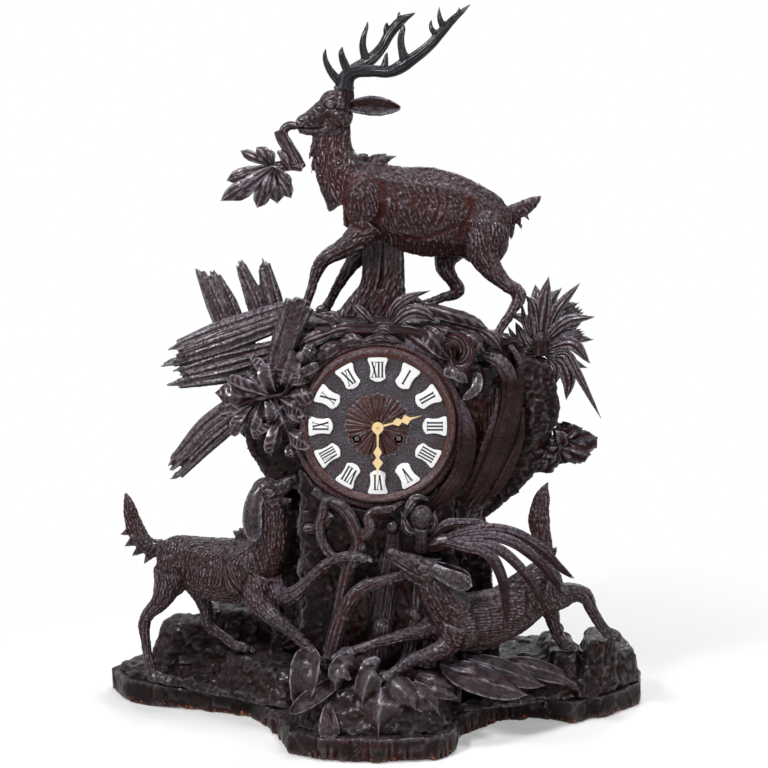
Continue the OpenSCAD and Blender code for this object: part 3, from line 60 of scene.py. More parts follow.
# The model is in metres, and the sizes below are in millimetres
MM = 0.001
STAND_Z = 408.0  # ledge that the stag stands on
TURF_Z = 33.0  # ground under the hounds
CASE_Z = 60.0  # foot of the case
TOP_Z = 400.0  # top board
DIAL_Z = 310.0  # middle of the dial
CASE_Y = -62.0  # front of the case
DIAL_Y = -74.0  # face of the dial
FACING_US = (0, -1, 0)


# Work on pieces

def linked(name, data):
    """A new object in the scene."""
    piece = bpy.data.objects.new(name, data)
    bpy.context.scene.collection.objects.link(piece)
    return piece


def alone(piece):
    """Selects this piece only and makes it the active one."""
    bpy.ops.object.select_all(action="DESELECT")
    piece.select_set(True)
    bpy.context.view_layer.objects.active = piece
    return piece


def place(piece):
    """Puts the piece's place, turn and size into its mesh."""
    alone(piece)
    bpy.ops.object.transform_apply(location=True, rotation=True, scale=True)
    return piece


def joined(parts, name):
    """Joins the parts into the first one and names it."""
    bpy.ops.object.select_all(action="DESELECT")
    for part in parts:
        part.select_set(True)
    bpy.context.view_layer.objects.active = parts[0]
    if len(parts) > 1:
        bpy.ops.object.join()
    piece = bpy.context.view_layer.objects.active
    piece.name = name
    return piece


def worked(piece, *steps):
    """Runs edit mode operators on the whole mesh of the piece, each with its own values."""
    alone(piece)
    bpy.ops.object.mode_set(mode="EDIT")
    for step, values in steps:
        bpy.ops.mesh.select_all(action="SELECT")
        step(**values)
    bpy.ops.object.mode_set(mode="OBJECT")
    return piece


def shaped(piece, kind, **settings):
    """Gives the piece one modifier with its settings and applies it."""
    modifier = alone(piece).modifiers.new(kind.lower(), kind)
    for key, value in settings.items():
        setattr(modifier, key, value)
    bpy.ops.object.modifier_apply(modifier=modifier.name)
    return piece


def cad_copy(node_name):
    """A copy of a CAD node's mesh as a new piece, its corners merged."""
    piece = linked(node_name + "_carved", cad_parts[node_name].data.copy())
    piece.data.materials.clear()
    return worked(piece, (bpy.ops.mesh.remove_doubles, {"threshold": 0.01 * MM}))


def melted(piece, voxel, rounds):
    """Melts overlapping parts into one skin of even small faces, and smooths it so many times."""
    shaped(piece, "REMESH", mode="VOXEL", voxel_size=voxel * MM, adaptivity=0)
    return shaped(piece, "SMOOTH", factor=0.5, iterations=rounds) if rounds else piece


def corners(piece):
    """Places in millimetres and normals of the piece's vertices."""
    count = len(piece.data.vertices)
    at = np.empty(count * 3, dtype=np.float32)
    out = np.empty(count * 3, dtype=np.float32)
    piece.data.vertices.foreach_get("co", at)
    piece.data.vertices.foreach_get("normal", out)
    return at.reshape(-1, 3) / MM, out.reshape(-1, 3)


def reshaped(piece, at):
    piece.data.vertices.foreach_set("co", (at * MM).astype(np.float32).ravel())
    piece.data.update()
    return piece


def marked(piece, depth):
    """Keeps how deep the knife went, from 0 to 1, as the piece's attribute cut."""
    mesh = piece.data
    mark = mesh.attributes.get("cut") or mesh.attributes.new("cut", "FLOAT", "POINT")
    before = np.empty(len(mesh.vertices), dtype=np.float32)
    mark.data.foreach_get("value", before)
    mark.data.foreach_set("value", np.maximum(before, np.clip(depth, 0, 1)).astype(np.float32))


def kept_in(piece, node_name=None):
    """Holds the piece inside the box of its CAD node, or of the whole clock."""
    low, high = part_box(node_name) if node_name else cad_box
    at, _ = corners(piece)
    return reshaped(piece, np.clip(at, np.array(low) / MM, np.array(high) / MM))


def finished(piece, material, *nodes, slot="carved_wood", angle=40):
    """Gives a fixed piece of the clock its finish and its place among the CAD bodies."""
    alone(piece)
    bpy.ops.object.shade_smooth_by_angle(angle=math.radians(angle))
    piece.data.materials.clear()
    piece.data.materials.append(material)
    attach(piece, "case")
    if nodes:
        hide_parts(*nodes)


# Knife work

def carved(piece, strokes):
    """Cuts strokes, drawn in X and Z, into the skin: points, width, depth (less than 0 leaves a ridge)
    and side (-1 near, 1 far, 0 both)."""
    at, out = corners(piece)
    order = np.argsort(at[:, 0])
    x, z, facing = at[order, 0], at[order, 2], out[order, 1]
    fade = np.clip(np.abs(facing) * 1.7, 0, 1)
    cut = np.zeros(len(x))
    rise = np.zeros(len(x))
    for points, width, depth, side in strokes:
        reach = width * 1.6
        xs, zs = [p[0] for p in points], [p[1] for p in points]
        first, last = np.searchsorted(x, [min(xs) - reach, max(xs) + reach])
        near = np.nonzero((z[first:last] > min(zs) - reach) & (z[first:last] < max(zs) + reach))[0] + first
        if side:
            near = near[facing[near] * side > 0]
        if not len(near):
            continue
        total = sum(math.dist(a, b) for a, b in zip(points, points[1:])) + 1e-6
        best = np.full(len(near), 1e9)
        along = np.zeros(len(near))
        run = 0.0
        for (x0, z0), (x1, z1) in zip(points, points[1:]):
            dx, dz = x1 - x0, z1 - z0
            reach2 = dx * dx + dz * dz + 1e-9
            t = np.clip(((x[near] - x0) * dx + (z[near] - z0) * dz) / reach2, 0, 1)
            gap = (x[near] - x0 - t * dx) ** 2 + (z[near] - z0 - t * dz) ** 2
            closer = gap < best
            best = np.where(closer, gap, best)
            along = np.where(closer, (run + t * math.sqrt(reach2)) / total, along)
            run += math.sqrt(reach2)
        deep = np.exp(-best / (width * 0.5) ** 2) * np.sqrt(np.sin(np.pi * np.clip(along, 0.02, 0.98)))
        deep *= abs(depth) * fade[near]
        if depth > 0:
            cut[near] = np.maximum(cut[near], deep)
        else:
            rise[near] = np.maximum(rise[near], deep)
    moved = at.copy()
    moved[order] -= out[order] * (cut - rise)[:, None]
    depth = np.zeros(len(x))
    depth[order] = cut
    reshaped(piece, moved)
    marked(piece, depth / 0.9)
    return piece


def inside(area, x, z):
    """Whether a place lies in an area that is drawn in X and Z."""
    hit = False
    for (x0, z0), (x1, z1) in zip(area, area[1:] + area[:1]):
        if (z0 > z) != (z1 > z) and x < (x1 - x0) * (z - z0) / (z1 - z0) + x0:
            hit = not hit
    return hit


def lie(x, z, flow):
    """The direction of the fur at a place, from [x, z, degrees] marks round it."""
    sx = sz = 0.0
    for fx, fz, turn in flow:
        weight = 1 / ((x - fx) ** 2 + (z - fz) ** 2 + 30) ** 1.5
        sx += weight * math.cos(math.radians(turn))
        sz += weight * math.sin(math.radians(turn))
    return math.atan2(sz, sx)


def fur(area, flow, spacing, length, width, depth, seed, wave=0.15):
    """Short strokes that follow the flow, scattered evenly over an area of the side view."""
    dice = random.Random(seed)
    strokes = []
    xs, zs = [p[0] for p in area], [p[1] for p in area]
    z = min(zs)
    while z < max(zs):
        x = min(xs) + dice.random() * spacing
        while x < max(xs):
            if inside(area, x, z):
                points, sx, sz, phase = [(x, z)], x, z, dice.uniform(0, 6.28)
                stretch = length * dice.uniform(0.6, 1.4) / 4
                for i in range(4):
                    turn = lie(sx, sz, flow) + wave * math.sin(phase + 1.5 * i)
                    sx, sz = sx + stretch * math.cos(turn), sz + stretch * math.sin(turn)
                    points.append((sx, sz))
                strokes.append((points, width * dice.uniform(0.8, 1.25), depth * dice.uniform(0.5, 1.3), 0))
            x += spacing * dice.uniform(0.75, 1.25)
        z += spacing * dice.uniform(0.6, 0.9)
    return strokes


def lengthwise(path, count, width, depth, seed, spread=0.75):
    """Grain strokes that run along a limb or a log."""
    dice = random.Random(seed)
    strokes = []
    knots = [(p[0], p[2], p[3]) for p in path]
    for _ in range(count):
        a = dice.uniform(0, 0.8)
        b = min(1.0, a + dice.uniform(0.15, 0.5))
        off = dice.uniform(-spread, spread)
        points = []
        for k in range(5):
            along = (a + (b - a) * k / 4) * (len(knots) - 1)
            i = min(int(along), len(knots) - 2)
            f = along - i
            (x0, z0, r0), (x1, z1, r1) = knots[i], knots[i + 1]
            run = math.hypot(x1 - x0, z1 - z0) + 1e-6
            side = off * (r0 + (r1 - r0) * f) + dice.uniform(-0.3, 0.3)
            points.append((x0 + (x1 - x0) * f - (z1 - z0) / run * side, z0 + (z1 - z0) * f + (x1 - x0) / run * side))
        strokes.append((points, width * dice.uniform(0.7, 1.4), depth * dice.uniform(0.5, 1.3), 0))
    return strokes


def lifted(strokes, z):
    """The strokes on the ground that their piece stands on."""
    return [([(x, sz + z) for x, sz in points], *rest) for points, *rest in strokes]


def hewn(piece, size, flat, seed, most=3.0):
    """Cuts the skin into small flat facets, as a broad chisel leaves them."""
    at, out = corners(piece)
    dice = np.random.default_rng(seed)
    seeds = at[dice.choice(len(at), max(8, int(len(at) * 2.2 / size ** 2)), replace=False)]
    tree = KDTree(len(seeds))
    for i, seed_at in enumerate(seeds):
        tree.insert(seed_at, i)
    tree.balance()
    cell = np.array([tree.find(p)[1] for p in at])
    share = np.bincount(cell, minlength=len(seeds)).astype(float) + 1e-9
    middle = np.stack([np.bincount(cell, at[:, k], len(seeds)) / share for k in range(3)], 1)
    face = np.stack([np.bincount(cell, out[:, k], len(seeds)) for k in range(3)], 1)
    face += dice.normal(0, 0.16, face.shape) * np.linalg.norm(face, axis=1, keepdims=True)
    face /= np.linalg.norm(face, axis=1, keepdims=True) + 1e-9
    off = np.einsum("ij,ij->i", at - middle[cell], face[cell])
    off = np.clip(off * flat, -most, most)
    return reshaped(piece, at - face[cell] * off[:, None])


def roughened(piece, size, depth, stretch=(1, 1, 1)):
    """Moves the skin along its normals by a noise that may be drawn out."""
    guide = linked("guide", None)
    guide.scale = [size * s * MM for s in stretch]
    bpy.context.view_layer.update()
    pattern = bpy.data.textures.new("pattern", "CLOUDS")
    pattern.noise_scale = 1.0
    shaped(piece, "DISPLACE", texture=pattern, texture_coords="OBJECT", texture_coords_object=guide,
           strength=depth * MM)
    bpy.data.objects.remove(guide)
    bpy.data.textures.remove(pattern)
    return piece


# Forms that a carver starts from

def ball(at, size, turn=(0, 0, 0), segments=24, rings=12):
    """A rounded mass with its half sizes in millimetres, turned by degrees."""
    bpy.ops.mesh.primitive_uv_sphere_add(segments=segments, ring_count=rings, radius=1)
    mass = bpy.context.active_object
    mass.scale = [s * MM for s in size]
    mass.rotation_euler = [math.radians(a) for a in turn]
    mass.location = [p * MM for p in at]
    return place(mass)


def stretched(path, section=None, flat=1.0, sides=3, steps=6, twist=0.0):
    """A smooth tapered stretch through [x, y, z, radius] points, round or with the section's closed outline."""
    line = bpy.data.curves.new("stretch", "CURVE")
    line.dimensions = "3D"
    line.use_fill_caps = True
    line.resolution_u = steps
    line.twist_mode = "MINIMUM"
    profile = None
    if section:
        edge_line = bpy.data.curves.new("section", "CURVE")
        edge_line.dimensions = "2D"
        edge = edge_line.splines.new("POLY")
        edge.points.add(len(section) - 1)
        for knot, (u, v) in zip(edge.points, section):
            knot.co = (u * MM, v * MM, 0, 1)
        edge.use_cyclic_u = True
        profile = linked("section", edge_line)
        line.bevel_mode = "OBJECT"
        line.bevel_object = profile
    else:
        line.bevel_depth = MM
        line.bevel_resolution = sides
    spline = line.splines.new("BEZIER")
    spline.bezier_points.add(len(path) - 1)
    for i, (knot, (x, y, z, r)) in enumerate(zip(spline.bezier_points, path)):
        knot.co = (x * MM, y * MM / flat, z * MM)
        knot.radius = r
        knot.tilt = twist * i / max(1, len(path) - 1)
        knot.handle_left_type = knot.handle_right_type = "AUTO"
    alone(linked("stretch", line))
    bpy.ops.object.convert(target="MESH")
    piece = bpy.context.active_object
    if profile:
        bpy.data.objects.remove(profile)
    piece.scale = (1, flat, 1)
    return place(piece)


def raised(points, z):
    """The points on the ground that their piece stands on."""
    return [(p[0], p[1], p[2] + z, *p[3:]) for p in points]


def limbs(paths, z):
    """The tapered limbs and the trunk of an animal."""
    return [stretched(raised(path, z), flat=flat) for path, flat in paths]


def ridged(count, depth, points=36):
    """The outline of a reed with ridges along it."""
    outline = []
    for i in range(points):
        turn = 2 * math.pi * i / points
        r = 1 - depth * abs(math.sin(count * turn / 2)) ** 0.7
        outline.append((r * math.cos(turn), r * math.sin(turn)))
    return outline


def bent_line(points, u):
    """Places along a smooth line through the points, u going from 0 to 1."""
    p = [np.array(q, dtype=float) for q in points]
    p = np.array([2 * p[0] - p[1]] + p + [2 * p[-1] - p[-2]])
    spans = len(points) - 1
    t = np.clip(u, 0, 1) * spans
    i = np.clip(t.astype(int), 0, spans - 1)
    f = (t - i)[:, None]
    a, b, c, d = p[i], p[i + 1], p[i + 2], p[i + 3]
    return 0.5 * (2 * b + (c - a) * f + (2 * a - 5 * b + 4 * c - d) * f ** 2 + (3 * b - a - 3 * c + d) * f ** 3)


# Shares of the length of a leaf, and how much of its half width it has there
LEAF_EDGES = {
    "blade": ([0, 0.1, 0.3, 0.5, 0.7, 0.88, 1], [0.25, 0.5, 0.88, 1, 0.8, 0.4, 0.02]),
    "broad": ([0, 0.06, 0.2, 0.4, 0.6, 0.8, 0.93, 1], [0.2, 0.5, 0.85, 1, 0.95, 0.68, 0.35, 0.03]),
    "strap": ([0, 0.15, 0.5, 0.8, 0.93, 1], [0.7, 0.95, 1, 0.8, 0.45, 0.04]),
    "fan": ([0, 0.3, 0.6, 0.85, 1], [0.2, 0.4, 0.72, 1, 0.96]),
    "scalloped": ([0, 0.1, 0.2, 0.3, 0.38, 0.5, 0.6, 0.7, 0.8, 0.88, 0.95, 1],
                  [0.3, 0.62, 0.95, 0.98, 0.84, 1, 0.95, 0.76, 0.8, 0.6, 0.34, 0.05]),
    "diamond": ([0, 0.2, 0.45, 0.55, 0.8, 1], [0.1, 0.3, 1, 0.97, 0.45, 0.03]),
    "ear": ([0, 0.08, 0.25, 0.5, 0.7, 0.88, 0.96, 1], [0.4, 0.42, 0.7, 1, 0.95, 0.55, 0.25, 0.04]),
    "flap": ([0, 0.15, 0.4, 0.7, 0.88, 0.96, 1], [0.6, 0.75, 0.88, 1, 0.85, 0.55, 0.2]),
}


def leaf(points, width, facing=FACING_US, edge="blade", ridges=0, cup=0.1, rib=0.8, veins=0, round_tip=0.0, fold=0.0,
         rows=20, columns=8):
    """The face of one carved leaf along its middle line; walled gives it its back."""
    bpy.ops.mesh.primitive_grid_add(x_subdivisions=columns, y_subdivisions=rows, size=2)
    face = bpy.context.active_object
    grid = np.empty(len(face.data.vertices) * 3, dtype=np.float32)
    face.data.vertices.foreach_get("co", grid)
    grid = grid.reshape(-1, 3)
    v, u = grid[:, 0].astype(float), (grid[:, 1].astype(float) + 1) / 2
    if len(points) == 2:
        points = [points[0], tuple((a + b) / 2 for a, b in zip(*points)), points[1]]
    reach = u * (1 - round_tip * v ** 2)
    if round_tip:
        reach = reach * 0.95 + 0.05 * np.cos(math.pi * ridges * v) * u
    line = bent_line(points, reach)
    ahead = bent_line(points, np.clip(reach + 0.02, 0.04, 1)) - bent_line(points, np.clip(reach - 0.02, 0, 0.96))
    ahead /= np.linalg.norm(ahead, axis=1, keepdims=True) + 1e-9
    side = np.cross(ahead, np.array(facing, dtype=float))
    side /= np.linalg.norm(side, axis=1, keepdims=True) + 1e-9
    up = np.cross(side, ahead)
    half = width / 2 * np.interp(u, *LEAF_EDGES[edge])
    height = -cup * width * v ** 2 - fold * width * np.abs(v) + rib * np.exp(-(v * 5) ** 2) * (1 - u)
    valley = np.zeros(len(u))
    if ridges:
        wave = np.cos(math.pi * ridges * v)
        height += width / ridges * 0.16 * wave * np.clip(1.15 - u, 0, 1)
        valley = np.maximum(valley, np.clip(-wave, 0, 1) * 0.8)
    if veins:
        wave = np.sin(2 * math.pi * (u * veins - np.abs(v) * 0.9))
        half_cut = np.clip(v * 3, 0, 1) + 0.35 * np.clip(-v * 3, 0, 1)
        height += 0.45 * wave * half_cut * np.clip(1.4 - np.abs(v), 0, 1)
        valley = np.maximum(valley, np.clip(-wave, 0, 1) * 0.7 * half_cut)
    dice = np.random.default_rng(1 + int(abs(points[-1][0] * 7 + points[-1][2] * 3)))
    height += dice.normal(0, 0.12, len(u))
    reshaped(face, line + side * (v * half)[:, None] + up * height[:, None])
    marked(face, valley)
    return face


def walled(leaves, name, thick=2.2):
    """Joins leaves and gives them their thickness."""
    return shaped(joined(leaves, name), "SOLIDIFY", thickness=thick * MM, offset=-1, thickness_clamp=2.0,
                  use_rim=True)


def polar_relief(radii, turns, front, back, name):
    """A round relief on the dial: front gives radius and depth for a share of the width and a turn."""
    shares = np.linspace(0, 1, radii)
    angles = np.linspace(0, 2 * math.pi, turns, endpoint=False)
    at, faces, marks = [], [], []
    for wall in (0, 1):
        for share in shares:
            for turn in angles:
                r, y, valley = front(share, turn)
                at.append((r * math.sin(turn) * MM, (back if wall else y) * MM, (DIAL_Z + r * math.cos(turn)) * MM))
                marks.append(0 if wall else valley)
    sheet = radii * turns
    for i in range(radii - 1):
        for j in range(turns):
            a, b = i * turns + j, i * turns + (j + 1) % turns
            c, d = b + turns, a + turns
            faces += [(a, d, c, b), (sheet + a, sheet + b, sheet + c, sheet + d)]
    for j in range(turns):
        a, b = j, (j + 1) % turns
        faces.append((a, b, sheet + b, sheet + a))
        a, b = (radii - 1) * turns + j, (radii - 1) * turns + (j + 1) % turns
        faces.append((a, sheet + a, sheet + b, b))
    mesh = bpy.data.meshes.new(name)
    mesh.from_pydata(at, [], faces)
    piece = linked(name, mesh)
    marked(piece, np.array(marks))
    return worked(piece, (bpy.ops.mesh.normals_make_consistent, {"inside": False}))


# Finishes

def feed(tree, socket, value):
    """Links a socket to another one, or gives it a plain value."""
    if isinstance(value, bpy.types.NodeSocket):
        tree.links.new(value, socket)
    else:
        socket.default_value = value


def node(tree, kind, inputs=None, **settings):
    """A new node with its settings and what feeds it."""
    made = tree.nodes.new(kind)
    for key, value in settings.items():
        setattr(made, key, value)
    for key, value in (inputs or {}).items():
        feed(tree, made.inputs[key], value)
    return made


def span(tree, value, low, high, to_low=0.0, to_high=1.0):
    """Stretches a value between two levels onto two others."""
    return node(tree, "ShaderNodeMapRange", {"Value": value, "From Min": low, "From Max": high,
                "To Min": to_low, "To Max": to_high}).outputs["Result"]


def blend(tree, share, a, b):
    """A colour between two others."""
    return node(tree, "ShaderNodeMix", {0: share, 6: a, 7: b}, data_type="RGBA").outputs[2]


def maths(tree, kind, a, b):
    """One sum of two values."""
    return node(tree, "ShaderNodeMath", {0: a, 1: b}, operation=kind).outputs[0]


def effect(name, inputs, outputs):
    """An empty shader group with its sockets."""
    tree = bpy.data.node_groups.new(name, "ShaderNodeTree")
    for label, kind, value in inputs:
        socket = tree.interface.new_socket(label, in_out="INPUT", socket_type=kind)
        if value is not None:
            socket.default_value = value
    for label, kind in outputs:
        tree.interface.new_socket(label, in_out="OUTPUT", socket_type=kind)
    return tree, tree.nodes.new("NodeGroupInput"), tree.nodes.new("NodeGroupOutput")


def edge_wear_and_painted_light_group():
    """High edges, rubbed bright on metal and a painted highlight on wood, and low places, painted shade on wood
    together with the red stain that stays in the hollows.
    """
    tree, _, end = effect("edge_wear_and_painted_light", [], [("High", "NodeSocketFloat"), ("Low", "NodeSocketFloat")])
    shape = node(tree, "ShaderNodeNewGeometry").outputs["Pointiness"]
    tree.links.new(span(tree, shape, 0.505, 0.57), end.inputs["High"])
    tree.links.new(span(tree, shape, 0.49, 0.42), end.inputs["Low"])
    return tree


def grain_group():
    """Wood grain along X of its vector: a tone and a fine relief."""
    tree, start, end = effect("wood_grain", [("Vector", "NodeSocketVector", None), ("Size", "NodeSocketFloat", 1.0)],
                              [("Tone", "NodeSocketFloat"), ("Height", "NodeSocketFloat")])
    drawn = node(tree, "ShaderNodeVectorMath", {0: start.outputs["Vector"], 1: (40, 420, 420)}, operation="MULTIPLY")
    scaled = node(tree, "ShaderNodeVectorMath", {0: drawn.outputs[0], "Scale": start.outputs["Size"]},
                  operation="SCALE")
    fine = node(tree, "ShaderNodeTexNoise",
                {"Vector": scaled.outputs[0], "Scale": 1.6, "Detail": 6.0, "Roughness": 0.65})
    broad = node(tree, "ShaderNodeTexNoise", {"Vector": scaled.outputs[0], "Scale": 0.22, "Detail": 3.0})
    both = maths(tree, "ADD", maths(tree, "MULTIPLY", fine.outputs[0], 0.6),
                 maths(tree, "MULTIPLY", broad.outputs[0], 0.4))
    tree.links.new(span(tree, both, 0.35, 0.65), end.inputs["Tone"])
    tree.links.new(span(tree, fine.outputs[0], 0.3, 0.7), end.inputs["Height"])
    return tree


def gouge_group():
    """Small hollow knife facets all over the surface."""
    tree, start, end = effect("gouges", [("Vector", "NodeSocketVector", None), ("Size", "NodeSocketFloat", 3.0)],
                              [("Height", "NodeSocketFloat"), ("Tone", "NodeSocketFloat")])
    scale = maths(tree, "DIVIDE", 1000.0, start.outputs["Size"])
    shift = node(tree, "ShaderNodeTexNoise", {"Vector": start.outputs["Vector"], "Scale": 90.0, "Detail": 2.0})
    bent = node(tree, "ShaderNodeVectorMath", {0: shift.outputs["Color"], "Scale": 0.006}, operation="SCALE")
    at = node(tree, "ShaderNodeVectorMath", {0: start.outputs["Vector"], 1: bent.outputs[0]})
    cells = node(tree, "ShaderNodeTexVoronoi", {"Vector": at.outputs[0], "Scale": scale}, feature="SMOOTH_F1")
    tree.links.new(cells.outputs["Distance"], end.inputs["Height"])
    fine = node(tree, "ShaderNodeTexNoise", {"Vector": start.outputs["Vector"], "Scale": scale, "Detail": 4.0})
    tree.links.new(fine.outputs[0], end.inputs["Tone"])
    return tree


def cloud_group():
    """Slow uneven patches of stain, wax and dust."""
    tree, start, end = effect("patches", [("Vector", "NodeSocketVector", None), ("Size", "NodeSocketFloat", 30.0)],
                              [("Mask", "NodeSocketFloat"), ("Speck", "NodeSocketFloat")])
    scale = maths(tree, "DIVIDE", 1000.0, start.outputs["Size"])
    slow = node(tree, "ShaderNodeTexNoise",
                {"Vector": start.outputs["Vector"], "Scale": scale, "Detail": 5.0, "Roughness": 0.6})
    tree.links.new(span(tree, slow.outputs[0], 0.36, 0.64), end.inputs["Mask"])
    quick = node(tree, "ShaderNodeTexNoise",
                 {"Vector": start.outputs["Vector"], "Scale": maths(tree, "MULTIPLY", scale, 9.0), "Detail": 3.0})
    tree.links.new(span(tree, quick.outputs[0], 0.5, 0.72), end.inputs["Speck"])
    return tree


EDGE_WEAR_AND_PAINTED_LIGHT, GRAIN, GOUGES, PATCHES = edge_wear_and_painted_light_group(), grain_group(), gouge_group(), cloud_group()


def put(tree, group, **inputs):
    """The outputs of an effect, placed in a material."""
    return node(tree, "ShaderNodeGroup", inputs, node_tree=group).outputs


def bumped(tree, shader, height, strength, depth):
    """Gives the shader a relief of so many millimetres."""
    bump = node(tree, "ShaderNodeBump", {"Height": height, "Strength": strength, "Distance": depth * MM})
    tree.links.new(bump.outputs[0], shader.inputs["Normal"])


def material(name, **plain):
    """A new material, its shader and its object coordinates, with plain values on the shader's own sockets."""
    made = bpy.data.materials.new(name)
    made.use_nodes = True
    tree = made.node_tree
    shader = tree.nodes["Principled BSDF"]
    for key, value in plain.items():
        shader.inputs[key.replace("_", " ")].default_value = value
    where = node(tree, "ShaderNodeTexCoord").outputs["Object"]
    return made, tree, shader, where


def stained_wood(name, ground, light, red_stain_and_shade, dust_sheen_grey, gouge=3.0, relief=0.35, grain=1.0, turn=(0, 0, 0), rough=0.36,
                 wax=0.9, redness=0.8, shine=0.9, chips=0.0, dust_and_sheen=0.4):
    """Dark stained and waxed carving wood: red stain in the cuts, with painted shade in red in the hollows and
    underneath; a painted grey highlight where it stands proud, and dust with a painted grey sheen on faces that look
    up; bare where it is chipped."""
    made, tree, shader, where = material(name, Coat_Roughness=0.24, Specular_IOR_Level=0.03)
    along = node(tree, "ShaderNodeMapping", {"Vector": where, "Rotation": [math.radians(a) for a in turn]}).outputs[0]
    proud_and_hollow = put(tree, EDGE_WEAR_AND_PAINTED_LIGHT)
    lines = put(tree, GRAIN, Vector=along, Size=grain)
    marks = put(tree, GOUGES, Vector=where, Size=gouge)
    stain = put(tree, PATCHES, Vector=where, Size=34.0)
    cut = node(tree, "ShaderNodeAttribute", attribute_name="cut").outputs["Fac"]
    side = node(tree, "ShaderNodeSeparateXYZ",
                {0: node(tree, "ShaderNodeNewGeometry").outputs["Normal"]}).outputs["Z"]
    colour = blend(tree, maths(tree, "MULTIPLY", lines["Tone"], span(tree, marks["Tone"], 0.4, 0.6, 0.35, 1.0)),
                   ground, light)
    # Painted shade in red: hollows, knife cuts and faces that look down, mixed with the red stain that stays in the
    # cuts
    low = maths(tree, "MAXIMUM", proud_and_hollow["Low"], maths(tree, "MULTIPLY", cut, 0.8))
    low = maths(tree, "MAXIMUM", low, maths(tree, "MULTIPLY", span(tree, side, 0.0, -0.7), 0.5))
    low = maths(tree, "MULTIPLY", low, span(tree, stain["Mask"], 0, 1, 0.35 * redness, redness))
    colour = blend(tree, low, colour, red_stain_and_shade)
    patch = maths(tree, "MULTIPLY", span(tree, stain["Mask"], 1, 0, 0, 0.5), redness)
    colour = blend(tree, patch, colour, blend(tree, 0.5, light, red_stain_and_shade))
    # Painted highlight in grey on proud edges, and dust with a painted sheen on faces that look up
    upward_dust_and_sheen = maths(tree, "MULTIPLY", span(tree, side, 0.1, 0.9), dust_and_sheen)
    high = maths(tree, "MULTIPLY", maths(tree, "MAXIMUM", proud_and_hollow["High"], upward_dust_and_sheen),
                 span(tree, marks["Tone"], 0.38, 0.6, 0.1, 1.0))
    colour = blend(tree, maths(tree, "MULTIPLY", high, shine), colour, dust_sheen_grey)
    if chips:
        height = node(tree, "ShaderNodeSeparateXYZ", {0: where}).outputs["Z"]
        foot = span(tree, height, chips * MM, 0.3 * chips * MM)
        bare = span(tree, maths(tree, "MULTIPLY", foot, stain["Speck"]), 0.3, 0.5)
        colour = blend(tree, bare, colour, (0.30, 0.085, 0.025, 1))
    feed(tree, shader.inputs["Base Color"], colour)
    proud = span(tree, node(tree, "ShaderNodeNewGeometry").outputs["Pointiness"], 0.485, 0.53)
    rubbed = maths(tree, "MULTIPLY", proud, span(tree, stain["Mask"], 0, 1, 1.0, 0.45))
    feed(tree, shader.inputs["Coat Weight"], maths(tree, "MULTIPLY", rubbed, wax))
    uneven = maths(tree, "ADD", maths(tree, "MULTIPLY", marks["Tone"], 0.22), maths(tree, "MULTIPLY", low, 0.2))
    feed(tree, shader.inputs["Roughness"], span(tree, uneven, 0, 0.42, rough - 0.1, rough + 0.22))
    height = maths(tree, "ADD", maths(tree, "MULTIPLY", lines["Height"], 0.25), marks["Height"])
    bumped(tree, shader, height, 1.0, relief)
    return made


def stippled_black():
    """Dark stained ground, beaten all over with a fine round punch, with painted shade near black in the middle of
    each punch mark.
    """
    made, tree, shader, where = material("punched_dial_ground", Coat_Weight=0.2, Coat_Roughness=0.25,
                                           Specular_IOR_Level=0.3)
    upright = node(tree, "ShaderNodeMapping", {"Vector": where, "Rotation": (math.radians(90), 0, 0)}).outputs[0]
    dots = node(tree, "ShaderNodeTexVoronoi", {"Vector": upright, "Scale": 470.0}, voronoi_dimensions="2D")
    stain = put(tree, PATCHES, Vector=where, Size=22.0)
    rim = span(tree, dots.outputs["Distance"], 0.2, 0.5)
    ground = blend(tree, stain["Mask"], (0.105, 0.088, 0.118, 1), (0.062, 0.030, 0.034, 1))
    shown = maths(tree, "MULTIPLY", rim, span(tree, stain["Speck"], 0, 1, 0.55, 1))
    # Painted shade: near black in the middle of each punch mark
    feed(tree, shader.inputs["Base Color"], blend(tree, shown, (0.005, 0.004, 0.006, 1), ground))
    feed(tree, shader.inputs["Roughness"], span(tree, stain["Mask"], 0, 1, 0.32, 0.5))
    bumped(tree, shader, rim, 0.8, 0.5)
    return made


def aged_metal(name, bright, dull, rough=0.3, tarnish=0.5):
    """Metal with fine brushing, dull patches and rubbed edges."""
    made, tree, shader, where = material(name, Metallic=1.0)
    proud_and_hollow = put(tree, EDGE_WEAR_AND_PAINTED_LIGHT)
    lines = put(tree, GRAIN, Vector=where, Size=3.0)
    stain = put(tree, PATCHES, Vector=where, Size=14.0)
    dulled = maths(tree, "MULTIPLY", stain["Mask"], tarnish)
    colour = blend(tree, dulled, bright, dull)
    colour = blend(tree, maths(tree, "MULTIPLY", proud_and_hollow["High"], 0.6), colour, [min(1, c * 1.25) for c in bright])
    feed(tree, shader.inputs["Base Color"], colour)
    uneven = maths(tree, "ADD", maths(tree, "MULTIPLY", lines["Tone"], 0.3), dulled)
    feed(tree, shader.inputs["Roughness"], span(tree, uneven, 0, 0.9, rough - 0.08, rough + 0.25))
    bumped(tree, shader, lines["Height"], 0.4, 0.05)
    return made


